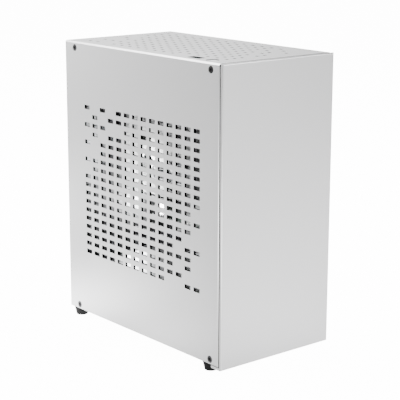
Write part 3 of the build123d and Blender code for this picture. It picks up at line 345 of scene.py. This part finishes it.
def finish(name, colour, roughness, metallic=0.0, grain=1800.0, cloud=14.0, tone=0.06, bump=0.05, coat=0.0,
           specular=0.5):
    """Material with the grain feeding colour, roughness and bump of one shader."""
    material = bpy.data.materials.new(name)
    material.use_nodes = True
    tree = material.node_tree
    shader = tree.nodes["Principled BSDF"]
    texture = effect(material, GRAIN)
    for label, value in (("Colour", (*colour, 1)), ("Grain Scale", grain), ("Cloud Scale", cloud),
                         ("Tone Range", tone), ("Roughness", roughness)):
        texture.inputs[label].default_value = value
    relief = tree.nodes.new("ShaderNodeBump")
    relief.name = "relief"
    relief.inputs["Strength"].default_value = bump
    relief.inputs["Distance"].default_value = RELIEF_DEPTH * MM
    tree.links.new(texture.outputs["Colour"], shader.inputs["Base Color"])
    tree.links.new(texture.outputs["Roughness"], shader.inputs["Roughness"])
    tree.links.new(texture.outputs["Height"], relief.inputs["Height"])
    tree.links.new(relief.outputs["Normal"], shader.inputs["Normal"])
    shader.inputs["Metallic"].default_value = metallic
    shader.inputs["Coat Weight"].default_value = coat
    shader.inputs["Specular IOR Level"].default_value = specular
    return material


def blend_in(material, mask, colour, roughness):
    """Lay another colour and roughness over a material where a mask is 1."""
    tree = material.node_tree
    shader = tree.nodes["Principled BSDF"]
    under = shader.inputs["Base Color"].links[0].from_socket
    tree.links.new(mixed(tree, mask, under, (*colour, 1)), shader.inputs["Base Color"])
    under = shader.inputs["Roughness"].links[0].from_socket
    tree.links.new(between(tree, mask, under, roughness), shader.inputs["Roughness"])


def satin_aluminium(name, face, edge_highlight):
    """Satin sheet whose broken edges are smoother and painted lighter, a painted highlight; returns it with
    the masks of its cut surfaces.
    """
    material = finish(name, SATIN, SATIN_ROUGHNESS, metallic=1.0, grain=2600.0, cloud=9.0, tone=0.05)
    cut = effect(material, CUT_EDGES)
    cut.inputs["Face"].default_value = face
    # Painted highlight: the broken edges get a lighter colour as well as their smoother roughness.
    blend_in(material, cut.outputs["Edges"], (edge_highlight, edge_highlight, edge_highlight), EDGE_ROUGHNESS)
    return material, cut


def slotted_aluminium(name, node, face):
    """Satin sheet with slots. The slot walls, and the front rim in the shadow gap, are smooth and painted
    near-black: painted shade for the dark inside. The other rims are satin."""
    material, cut = satin_aluminium(name, face, PANEL_EDGE_HIGHLIGHT)
    low, high = np.array(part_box(node))
    high -= SHEET_RIM * MM
    low += np.array((SHEET_RIM, -SHEET_RIM, SHEET_RIM)) * MM
    cut.inputs["Middle"].default_value = (low + high) / 2 * (1 - np.array(face))
    cut.inputs["Reach"].default_value = np.abs(high - low) / 2 + np.array(face)
    # Painted shade: the slot walls and the front rim in the shadow gap get a near-black colour.
    blend_in(material, cut.outputs["Walls"], PAINTED_SLOT_SHADE, WALL_ROUGHNESS)
    return material


def spangled_steel():
    """Zinc-coated sheet: crystal cells of differing tone and gloss."""
    material = finish("zinc_coated_steel", (0.62, 0.63, 0.64), 0.34, metallic=1.0, grain=900.0, cloud=30.0,
                      tone=0.1)
    tree = material.node_tree
    cells = tree.nodes.new("ShaderNodeTexVoronoi")
    cells.inputs["Scale"].default_value = 170.0
    tree.links.new(surface_coords(tree), cells.inputs["Vector"])
    blend_in(material, maths(tree, "MULTIPLY", cells.outputs["Color"], 0.6), (0.46, 0.47, 0.49), 0.5)
    return material


def drawn_metal(name, colour, roughness, stretch):
    """Metal with drawing lines, longest along the axis of most stretch."""
    material = finish(name, colour, roughness, metallic=1.0, grain=900.0, tone=0.08)
    lines = effect(material, DRAWN_LINES)
    material.node_tree.links.new(stretched(material.node_tree, stretch), lines.inputs["Coordinates"])
    darker = [LINE_TONE * part for part in colour]
    blend_in(material, lines.outputs["Lines"], darker, roughness + LINE_ROUGHER)
    return material


def turned_metal(name, colour, roughness, centre, pitch):
    """Turned metal: fine rings round an upright axis through centre, as a relief. The wave node repeats after
    a turn, in radians, over twenty times its scale."""
    material = finish(name, colour, roughness, metallic=1.0, grain=900.0, tone=0.05, bump=0.35)
    tree = material.node_tree
    rings = tree.nodes.new("ShaderNodeTexWave")
    rings.wave_type = "RINGS"
    rings.rings_direction = "Z"
    rings.inputs["Scale"].default_value = TURN / (20 * pitch * MM)
    tree.links.new(stretched(tree, (1, 1, 1), centre), rings.inputs["Vector"])
    tree.links.new(rings.outputs["Fac"], tree.nodes["relief"].inputs["Height"])
    return material


def printed_board():
    """Green lacquer over copper: banded traces that a noise breaks up, and round tinned pads."""
    material = finish("printed_board", (0.009, 0.020, 0.013), 0.42, grain=320.0, cloud=60.0, tone=0.5,
                      coat=0.2)
    tree = material.node_tree
    where = surface_coords(tree)
    bands = tree.nodes.new("ShaderNodeTexWave")
    bands.bands_direction = "DIAGONAL"
    for label, value in (("Scale", 130.0), ("Distortion", 6.0), ("Detail", 1.0), ("Detail Scale", 0.3)):
        bands.inputs[label].default_value = value
    tree.links.new(where, bands.inputs["Vector"])
    broken = maths(tree, "GREATER_THAN", noise(tree, 60.0, 1.0, where), TRACE_GAP)
    traces = maths(tree, "MULTIPLY", maths(tree, "GREATER_THAN", bands.outputs["Fac"], TRACE_EDGE), broken)
    blend_in(material, traces, (0.018, 0.045, 0.028), 0.36)
    pads = tree.nodes.new("ShaderNodeTexVoronoi")
    pads.inputs["Scale"].default_value = 260.0
    tree.links.new(where, pads.inputs["Vector"])
    blend_in(material, maths(tree, "LESS_THAN", pads.outputs["Distance"], PAD_R), (0.55, 0.55, 0.52), 0.3)
    return material


def braided_sleeve():
    """Black braid: two sets of slanting bands that cross."""
    material = finish("braided_sleeve", (0.02, 0.02, 0.021), 0.6, grain=1100.0, tone=0.5, bump=0.6)
    tree = material.node_tree
    weave = []
    for slant in ((1, 1, 1), (1, 1, -1)):
        bands = tree.nodes.new("ShaderNodeTexWave")
        bands.bands_direction = "DIAGONAL"
        bands.inputs["Scale"].default_value = 220.0
        tree.links.new(stretched(tree, slant), bands.inputs["Vector"])
        weave.append(bands.outputs["Fac"])
    crossing = maths(tree, "MULTIPLY", *weave)
    tree.links.new(crossing, tree.nodes["relief"].inputs["Height"])
    blend_in(material, crossing, (0.05, 0.05, 0.052), 0.45)
    return material


SIDE_ALUMINIUM = slotted_aluminium("side_aluminium", "left_side_panel", (1, 0, 0))
LID_ALUMINIUM = slotted_aluminium("lid_aluminium", "top_panel", (0, 0, 1))
FRONT_ALUMINIUM, _ = satin_aluminium("front_aluminium", (0, 1, 0), FRONT_EDGE_HIGHLIGHT)
BUTTON = turned_metal("turned_button", (0.74, 0.745, 0.75), 0.3, middle_of("power_button") * MM, RING_PITCH)
BLACK_STEEL = finish("black_zinc_steel", (0.055, 0.055, 0.056), 0.3, metallic=1.0, grain=2500.0, tone=0.4)
RUBBER = finish("black_rubber", (0.006, 0.006, 0.0065), 0.6, grain=1500.0, tone=0.5, bump=0.25, specular=0.2)
STEEL = spangled_steel()
HARDWARE = drawn_metal("plated_hardware", (0.60, 0.61, 0.62), 0.28, (0.02, 0.0004, 0.0004))
SOCKET = drawn_metal("socket_shell", (0.62, 0.62, 0.61), 0.14, (0.0005, 0.02, 0.0005))
FINS = drawn_metal("extruded_fins", (0.70, 0.71, 0.72), 0.3, (0.0008, 0.06, 0.0008))
BLACK_PLASTIC = finish("black_moulding", (0.022, 0.022, 0.024), 0.5, grain=1400.0, tone=0.35, bump=0.2)
WHITE_PLASTIC = finish("white_moulding", (0.80, 0.81, 0.81), 0.4, grain=1200.0, tone=0.04)
NYLON = finish("natural_nylon", (0.74, 0.71, 0.62), 0.42, grain=900.0, tone=0.08)
BLUE_PLASTIC = finish("blue_insert", (0.02, 0.07, 0.30), 0.4, grain=1200.0, tone=0.2)
PINK_PLASTIC = finish("pink_ring", (0.70, 0.20, 0.28), 0.4, grain=1200.0, tone=0.1)
LIME_PLASTIC = finish("lime_ring", (0.25, 0.55, 0.12), 0.4, grain=1200.0, tone=0.1)
SKY_PLASTIC = finish("sky_ring", (0.14, 0.38, 0.68), 0.4, grain=1200.0, tone=0.1)
AMBER_PLASTIC = finish("amber_window", (0.75, 0.42, 0.05), 0.25, grain=1200.0, tone=0.1, coat=0.4)
BOARD = printed_board()
GOLD = finish("plated_contacts", (0.80, 0.62, 0.28), 0.28, metallic=1.0, grain=700.0, tone=0.1)
CORE = finish("taped_core", (0.42, 0.32, 0.06), 0.5, grain=300.0, tone=0.3)
SLEEVE = braided_sleeve()
CAN = drawn_metal("drawn_can", (0.66, 0.67, 0.68), 0.3, (0.02, 0.0006, 0.0006))

SLOT_FINISH = {
    "satin_aluminium": SIDE_ALUMINIUM, "bright_button": BUTTON, "black_screws": BLACK_STEEL,
    "black_rubber": RUBBER, "sheet_steel": STEEL, "steel_hardware": HARDWARE, "socket_metal": SOCKET,
    "black_plastic": BLACK_PLASTIC, "white_plastic": WHITE_PLASTIC, "cream_plastic": NYLON,
    "board_green": BOARD, "heatsink_aluminium": FINS, "contact_brass": GOLD, "core_brown": CORE,
    "sleeve_black": SLEEVE,
}
NODE_FINISH = {"top_panel": LID_ALUMINIUM, "front_panel": FRONT_ALUMINIUM, "front_usb_tongue": BLUE_PLASTIC}
for row in frame["record"]["subparts"]:
    shell = NODES[row["node"]].data
    shell.materials.clear()
    shell.materials.append(NODE_FINISH.get(row["node"], SLOT_FINISH[row["material_slot"]]))


# Screws


SHANK_R = 1.45
CROSS_TILT = math.radians(28)


def cross_head(head_r, reach, sides=72):
    """Countersunk screw, head at z = 0: a turned form whose top sinks by a depth that eases to full inside
    two crossed bars, one along each axis, and a bowl in the middle."""
    bar_half, bar_end, bowl_r, depth = np.array((0.20, 0.64, 0.34, 0.30)) * head_r
    flat = np.linspace(0, head_r - 0.3, 24)
    radius = np.concatenate([flat, [head_r - 0.1, head_r, SHANK_R, SHANK_R, 0]])
    height = np.concatenate([0 * flat, [-0.05, -0.2, SHANK_R - 0.2 - head_r, -reach, -reach]])
    points = turned(np.stack([radius, height], -1), sides)
    across = np.abs(points[..., :2])
    narrow = smooth_step((bar_half - across.min(-1)) / (0.07 * head_r))
    inside = smooth_step((bar_end - across.max(-1)) / (0.22 * head_r))
    bowl = smooth_step((bowl_r - np.hypot(across[..., 0], across[..., 1])) / (0.15 * head_r))
    sink = depth * np.maximum(narrow * inside, 0.8 * bowl)
    points[: len(flat), :, 2] -= sink[: len(flat)]
    return points


def cross_screws(name, form, places, node):
    """Black screws of one form at their places, in the stead of a CAD node."""
    screws = piece(name, [(form, places)], BLACK_STEEL, "case", sharp=30)
    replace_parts(screws, node)


PANEL_SCREW = cross_head(head_r=2.9, reach=5.9)
for side, facing in (("left", -1), ("right", 1)):
    spots = [(facing * top_of("right_side_panel")[0], y, z) for y in PANEL_SCREW_Y for z in PANEL_SCREW_Z]
    across = (0, math.cos(CROSS_TILT), math.sin(CROSS_TILT))
    upright = (0, -facing * math.sin(CROSS_TILT), facing * math.cos(CROSS_TILT))
    places = frames(spots, across, upright, (facing, 0, 0))
    cross_screws(side + "_cross_screws", PANEL_SCREW, places, side + "_panel_screws")

spots = [(x, top_of("psu_screws")[1], z) for x in PSU_SCREW_X for z in PSU_SCREW_Z]
places = frames(spots, (-1, 0, 0), (0, 0, 1), (0, 1, 0))
cross_screws("psu_cross_screws", cross_head(head_r=2.3, reach=4.9), places, "psu_screws")


# Feet and power button


FOOT = ([(0, 1.5), (1.9, 1.5), (2.3, 0.2), (2.6, 0)] + arc((4.2, 1.0), 1.0, -90, -5, 8)
        + [(6.6, 7.1), (6.65, 7.5), (0, 7.5)])
places = frames([(x, y, 0) for x in FOOT_X for y in FOOT_Y])
feet = piece("moulded_feet", [(turned(FOOT, 48), places)], RUBBER, "case", sharp=50)
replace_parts(feet, "rubber_feet")

CAP_R, CAP_H, DISH_R, DISH_D = 4.9, 1.8, 4.3, 0.38
FLANGE_R, FLANGE_LOW = 5.45, -2.0
STEM_R, STEM_LOW = 2.0, -6.7
dish = np.linspace(0, DISH_R, 12)
BUTTON_FORM = list(zip(dish, CAP_H - 0.05 - DISH_D * (1 - (dish / DISH_R) ** 2))) + [
    (4.5, CAP_H), (4.75, CAP_H - 0.08), (CAP_R, CAP_H - 0.3), (CAP_R, 0), (FLANGE_R, 0),
    (FLANGE_R, FLANGE_LOW), (STEM_R, FLANGE_LOW), (STEM_R, STEM_LOW), (0, STEM_LOW)]
x, y, _ = middle_of("power_button")
places = frames([(x, y, top_of("power_button")[2] - CAP_H)])
button = piece("dished_button", [(turned(BUTTON_FORM, 64), places)], BUTTON, "power_button",
               sharp=35)
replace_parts(button, "power_button")


# Fans


ROOT_SUNK = 0.6
BLADE_THICK, BLADE_CAMBER = 0.035, 0.07


def fan_blade(hub_r, tip_r, middle, chord, pitch, sweep, rows=14, cols=20):
    """Fan blade: a thin cambered loop, wider and flatter towards the tip, carried out along the radius,
    turned by its pitch, bent round the axis, swept forward, and pinched shut at both ends."""
    out = np.linspace(0, 1, rows)[:, None]
    loop = np.linspace(0, TURN, cols, endpoint=False)[None, :]
    radius = hub_r - ROOT_SUNK + (tip_r - hub_r + ROOT_SUNK) * out
    width = chord[0] + (chord[1] - chord[0]) * out
    angle = np.radians(pitch[0] + (pitch[1] - pitch[0]) * out)
    along = 0.5 * width * np.cos(loop)
    closed = np.where((out == 0) | (out == 1), 0.0, 1.0)
    across = closed * BLADE_THICK * chord[1] * np.sin(loop) + BLADE_CAMBER * width * np.sin(loop) ** 2
    around = along * np.cos(angle) - across * np.sin(angle)
    axial = middle + along * np.sin(angle) + across * np.cos(angle)
    turn = np.radians(sweep) * out ** 1.4 + around / radius
    return np.stack([radius * np.cos(turn), radius * np.sin(turn), axial], -1)


def fan_wheel(name, node, body, colour, place, axes, hub_r, tip_r, depth, blades, chord, pitch, sweep):
    """Turned hub with a rounded cap and shaft, and blades at equal angles round it."""
    low, high = 0.25 * depth, 0.95 * depth
    soft = 0.14 * hub_r
    shaft_r, shaft_end = 0.08 * hub_r, 0.5
    hub = ([(0, high)] + arc((hub_r - soft, high - soft), soft, 90, 0, 7)
           + [(hub_r, low), (shaft_r, low), (shaft_r, shaft_end), (0, shaft_end)])
    blade = fan_blade(hub_r, tip_r, (low + high) / 2, chord, pitch, sweep)
    x_axis, y_axis, z_axis = (np.array(axis, float) for axis in axes)
    spun = []
    for angle in np.arange(blades) * TURN / blades:
        first = math.cos(angle) * x_axis + math.sin(angle) * y_axis
        second = math.cos(angle) * y_axis - math.sin(angle) * x_axis
        spun += frames([place], first, second, z_axis)
    surfaces = [(turned(hub, 56), frames([place], *axes)), (blade, spun)]
    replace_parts(piece(name, surfaces, colour, body), node)


_, y, z = middle_of("cooler_fan_frame")
fan_wheel("cooler_wheel", "cooler_fan_rotor", "cooler_rotor", WHITE_PLASTIC,
          (top_of("cooler_fan_frame")[0], y, z), ((0, 0, 1), (0, 1, 0), (-1, 0, 0)),
          hub_r=19.5, tip_r=41.4, depth=15.0, blades=7, chord=(16.0, 25.0), pitch=(40.0, 23.0), sweep=24.0)
x, _, z = middle_of("psu_fan_frame")
fan_wheel("psu_wheel", "psu_fan_rotor", "psu_rotor", BLACK_PLASTIC,
          (x, top_of("psu_fan_frame")[1], z), ((1, 0, 0), (0, 0, 1), (0, -1, 0)),
          hub_r=8.8, tip_r=16.3, depth=15.0, blades=5, chord=(9.0, 12.0), pitch=(45.0, 32.0), sweep=20.0)


# Contacts and sockets


def blocks(name, size, spots, colour, power=10.0):
    """Rounded blocks of one size at the given places."""
    piece(name, [(soft_block(size, power), frames(spots))], colour, "case", sharp=35)


def wires(name, path, radius, spots, colour):
    """Round wires: a small circle carried along a path that lies in x and y, copied to the given places."""
    path = np.asarray(path, float)
    step = np.gradient(path, axis=0)
    step /= np.linalg.norm(step, axis=1, keepdims=True)
    angle = np.linspace(0, TURN, 8, endpoint=False)
    width = np.concatenate([[0], np.full(len(path) - 2, radius), [0]])[:, None]
    side = np.stack([-step[:, 1], step[:, 0]], -1)
    flat = path[:, None, :] + (width * np.cos(angle))[..., None] * side[:, None, :]
    points = np.concatenate([flat, (width * np.sin(angle))[..., None]], -1)
    piece(name, [(points, frames(spots))], colour, "case", sharp=60)


USB_CONTACTS = (-3.5, -1.0, 1.0, 3.5)
x, y, _ = middle_of("front_usb_shell")
spots = [(x - LID_CONTACT_ASIDE, y + along, LID_CONTACT_Z) for along in USB_CONTACTS]
blocks("lid_usb_contacts", (0.14, 1.1, 7.5), spots, GOLD)

TONGUE, TONGUE_Y, TONGUE_ASIDE = (2.2, 12.4, 11.3), 96.2, 0.9
USB_HALF_PITCH, CONTACT_Y = 3.8, 98.2
tongues = [(USB_PAIR_X + side * USB_HALF_PITCH + TONGUE_ASIDE, z) for z in USB_PAIR_Z for side in (-1, 1)]
spots = [(x, TONGUE_Y, z) for x, z in tongues]
blocks("rear_usb_tongues", TONGUE, spots, BLUE_PLASTIC, power=16)
spots = [(x - TONGUE[0] / 2, CONTACT_Y, z + along) for x, z in tongues for along in USB_CONTACTS]
blocks("rear_usb_contacts", (0.2, 7.0, 1.1), spots, GOLD)

PIN_X, PIN_Y, PIN_RISE, PIN_LENGTH = 42.4, 102.6, 2.6, 9.0
PIN_PITCH, PIN_R = 1.02, 0.22
bend = np.linspace(0, 1, 10)
pin_path = np.stack([PIN_X - PIN_RISE * bend ** 1.6, PIN_Y - PIN_LENGTH * bend], -1)
spots = [(0, 0, NETWORK_Z + PIN_PITCH * (n - 3.5)) for n in range(8)]
wires("network_contacts", pin_path, PIN_R, spots, GOLD)
WINDOW_X, WINDOW_Y, WINDOW_HALF_PITCH = 33.6, 103.6, 5.6
spots = [(WINDOW_X, WINDOW_Y, NETWORK_Z + side * WINDOW_HALF_PITCH) for side in (-1, 1)]
blocks("network_windows", (2.2, 0.6, 3.0), spots, AMBER_PLASTIC)

BORE_R, BARREL_R, COLLAR_R, RING_LOW = 1.85, 3.6, 4.4, -2.3
RING = [(BORE_R, RING_LOW), (BORE_R, -0.1), (2.0, 0.05), (4.15, 0.05), (COLLAR_R, -0.15),
        (COLLAR_R, -0.76), (BARREL_R, -0.78), (BARREL_R, RING_LOW), (BORE_R, RING_LOW)]
for name, step, colour in (("microphone_ring", -1, PINK_PLASTIC), ("speaker_ring", 0, LIME_PLASTIC),
                           ("line_ring", 1, SKY_PLASTIC)):
    places = frames([(AUDIO_X + step * AUDIO_PITCH, SHIELD_FACE, AUDIO_Z)], (-1, 0, 0), (0, 0, 1), (0, 1, 0))
    piece(name, [(turned(RING, 40), places)], colour, "case", sharp=35)


# Small parts on the boards


CAN_FORM = ([(0, 0), (3.1, 0), (3.1, 0.5), (2.9, 0.8), (3.1, 1.1)] + arc((2.6, 7.5), 0.5, 0, 90, 5)
            + [(2.2, 7.9), (0, 7.9)])
CAN_ROW_Z, CAN_COLUMN_Y = 213.0, -24.0
spots = [(BOARD_FACE, y, CAN_ROW_Z) for y in range(0, 54, 9)]
spots += [(BOARD_FACE, CAN_COLUMN_Y, z) for z in (112.0, 120.0, 196.0, 204.0)]
places = frames(spots, (0, 0, 1), (0, 1, 0), (-1, 0, 0))
piece("board_cans", [(turned(CAN_FORM, 28), places)], CAN, "case")

CHOKE, CHOKE_Y = (5.6, 7.0, 7.0), -22.0
spots = [(BOARD_FACE - CHOKE[0] / 2, CHOKE_Y, z) for z in range(132, 190, 9)]
blocks("board_chokes", CHOKE, spots, BLACK_PLASTIC, power=8)

CHIP_MIDDLE = 0.7
CHIP_YZ = ((-18, 92), (-30, 72), (62, 88), (74, 88), (-60, 100), (-62, 222))
spots = [(BOARD_FACE - CHIP_MIDDLE, y, z) for y, z in CHIP_YZ]
blocks("board_chips", (1.6, 10.0, 10.0), spots, BLACK_PLASTIC, power=14)

PASSIVE_MIDDLE, PASSIVE_Z = 0.35, (108.5, 224.5)
spots = [(BOARD_FACE - PASSIVE_MIDDLE, y, z) for y in range(-66, 82, 6) for z in PASSIVE_Z]
blocks("board_passives", (0.8, 2.0, 1.2), spots, NYLON, power=8)

MEMORY_CHIP_PITCH, MEMORY_CHIP_STAND = 15.5, 1.05
spots = [(MEMORY_X, y + side * MEMORY_CHIP_STAND, MEMORY_Z + MEMORY_CHIP_PITCH * n)
         for y in MEMORY_Y for side in (-1, 1) for n in np.arange(-3.5, 4)]
blocks("memory_chips", (11.5, 0.9, 9.5), spots, BLACK_PLASTIC, power=16)


# Leads inside the case


def lead(name, node, route, diameter):
    """Sleeved lead on one smooth curve whose control points are its route."""
    curve = bpy.data.curves.new(name, "CURVE")
    curve.dimensions = "3D"
    curve.bevel_depth = diameter / 2 * MM
    curve.bevel_resolution = 4
    curve.resolution_u = 24
    line = curve.splines.new("NURBS")
    line.points.add(len(route) - 1)
    for point, spot in zip(line.points, route):
        point.co = (*(np.array(spot) * MM), 1)
    line.order_u = 3
    line.use_endpoint_u = True
    curve.materials.append(SLEEVE)
    obj = bpy.data.objects.new(name, curve)
    bpy.context.scene.collection.objects.link(obj)
    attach(obj, "case")
    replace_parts(obj, node)


lead("board_lead", "main_power_lead", MAIN_ROUTE, diameter=6.0)
lead("button_lead", "front_lead", FRONT_ROUTE, diameter=2.4)


# Camera


PHOTO_SIZE, FOCAL_PX = 400, 1290.3
NEAR_CORNER, CASE_HEIGHT = np.array([-58.0, -104.0, 5.5]), 240.0
# Place from the case's near lower corner, in heights of the case; tilt down, roll and heading in degrees
CAMERA_PLACE = np.array([-2.558, -2.999, 1.511])
CAMERA_DOWN, CAMERA_ROLL, CAMERA_HEADING = 13.39, -0.110, -39.44
camera_data = bpy.data.cameras.new("camera")
camera_data.sensor_width = 36.0
camera_data.lens = FOCAL_PX / PHOTO_SIZE * camera_data.sensor_width
camera_data.clip_start = 0.05
camera_data.clip_end = 30.0
camera = bpy.data.objects.new("camera", camera_data)
bpy.context.scene.collection.objects.link(camera)
camera.location = (NEAR_CORNER + CASE_HEIGHT * CAMERA_PLACE) * MM
camera.rotation_euler = np.radians((90 - CAMERA_DOWN, CAMERA_ROLL, CAMERA_HEADING))
bpy.context.scene.camera = camera


# Studio light


SKY_LIGHT, SKY_WHITE = 0.45, 16.0
FLOOR_REACH, FLOOR_WHITE = 6.0, 14.0
FLOOR_GREY, FLOOR_ROUGHNESS = (0.5, 0.5, 0.5), 0.7


def seen_or_lit(tree, lit, seen):
    """Strength that is one value in the picture and another for the light it casts."""
    return between(tree, tree.nodes.new("ShaderNodeLightPath").outputs["Is Camera Ray"], lit, seen)


def glow(tree, where, middle, spread, peak):
    """Soft pool of light on the floor: peak times e to the minus square of distance over spread."""
    ratio = maths(tree, "DIVIDE", vector_maths(tree, "DISTANCE", where, middle), spread)
    power = maths(tree, "MULTIPLY", maths(tree, "MULTIPLY", ratio, ratio), -1.0)
    return maths(tree, "MULTIPLY", maths(tree, "EXPONENT", power), peak)


def softbox(name, place, target, size, power, spread=180.0):
    """Square area light that faces a point and isn't seen itself: metres, watts and degrees."""
    lamp = bpy.data.lights.new(name, "AREA")
    lamp.size = size
    lamp.energy = power
    lamp.spread = math.radians(spread)
    obj = bpy.data.objects.new(name, lamp)
    obj.location = place
    obj.rotation_euler = (Vector(target) - obj.location).to_track_quat("-Z", "Y").to_euler()
    obj.visible_camera = False
    bpy.context.scene.collection.objects.link(obj)


world = bpy.data.worlds.new("studio")
world.use_nodes = True
sky = world.node_tree.nodes["Background"]
sky.inputs["Color"].default_value = (1, 1, 1, 1)
world.node_tree.links.new(seen_or_lit(world.node_tree, SKY_LIGHT, SKY_WHITE), sky.inputs["Strength"])
bpy.context.scene.world = world

softbox("top_softbox", (0.1, 0.7, 1.5), (0, 0, 0.1), size=1.6, power=51.0)
softbox("front_softbox", (0.5, -1.2, 0.9), (0, -0.1, 0.12), size=0.8, power=26.0)
softbox("back_softbox", (-0.4, 0.9, 0.3), (-0.058, 0.09, 0.13), size=0.4, power=3.2)
softbox("edge_softbox", (-0.39, 1.08, 1.06), (-0.058, 0, 0.245), size=0.4, power=1.5)
softbox("fan_lamp", (-0.046, 0.050, 0.137), (-0.0107, 0.053, 0.137), size=0.02, power=0.07, spread=100.0)
softbox("psu_lamp", (0.010, 0.097, 0.066), (0.010, 0.0, 0.066), size=0.026, power=0.035, spread=140.0)
softbox("shield_lamp", (0.037, 0.072, 0.084), (0.016, 0.102, 0.0945), size=0.012, power=0.0055,
        spread=80.0)

# Pools of light on the floor: place, spread and peak
FLOOR_POOLS = [
    ((-0.18, 0.50, 0), 0.14, 7.9), ((-0.10, 0.14, 0), 0.07, 7.1), ((-0.10, 0.0, 0), 0.06, 2.2),
    ((0.15, -0.28, 0), 0.26, 0.9), ((0.02, -0.20, 0), 0.12, 1.4), ((0.40, -0.60, 0), 0.40, 1.7),
    ((-0.25, 0.38, 0), 0.10, 2.0), ((-0.42, -0.42, 0), 0.20, 8.0)]
floor_paint = bpy.data.materials.new("pale_floor")
floor_paint.use_nodes = True
floor_tree = floor_paint.node_tree
floor_spot = surface_coords(floor_tree)
pools = 0.0
for place, spread, peak in FLOOR_POOLS:
    pools = maths(floor_tree, "ADD", pools, glow(floor_tree, floor_spot, place, spread, peak))
floor_shader = floor_tree.nodes["Principled BSDF"]
floor_shader.inputs["Base Color"].default_value = (*FLOOR_GREY, 1)
floor_shader.inputs["Roughness"].default_value = FLOOR_ROUGHNESS
floor_shader.inputs["Emission Color"].default_value = (1, 1, 1, 1)
floor_tree.links.new(seen_or_lit(floor_tree, pools, FLOOR_WHITE), floor_shader.inputs["Emission Strength"])
floor_mesh = bpy.data.meshes.new("floor")
corners = [(FLOOR_REACH * x, FLOOR_REACH * y, 0) for x, y in ((-1, -1), (1, -1), (1, 1), (-1, 1))]
floor_mesh.from_pydata(corners, [], [(0, 1, 2, 3)])
floor = bpy.data.objects.new("floor", floor_mesh)
floor_mesh.materials.append(floor_paint)
bpy.context.scene.collection.objects.link(floor)
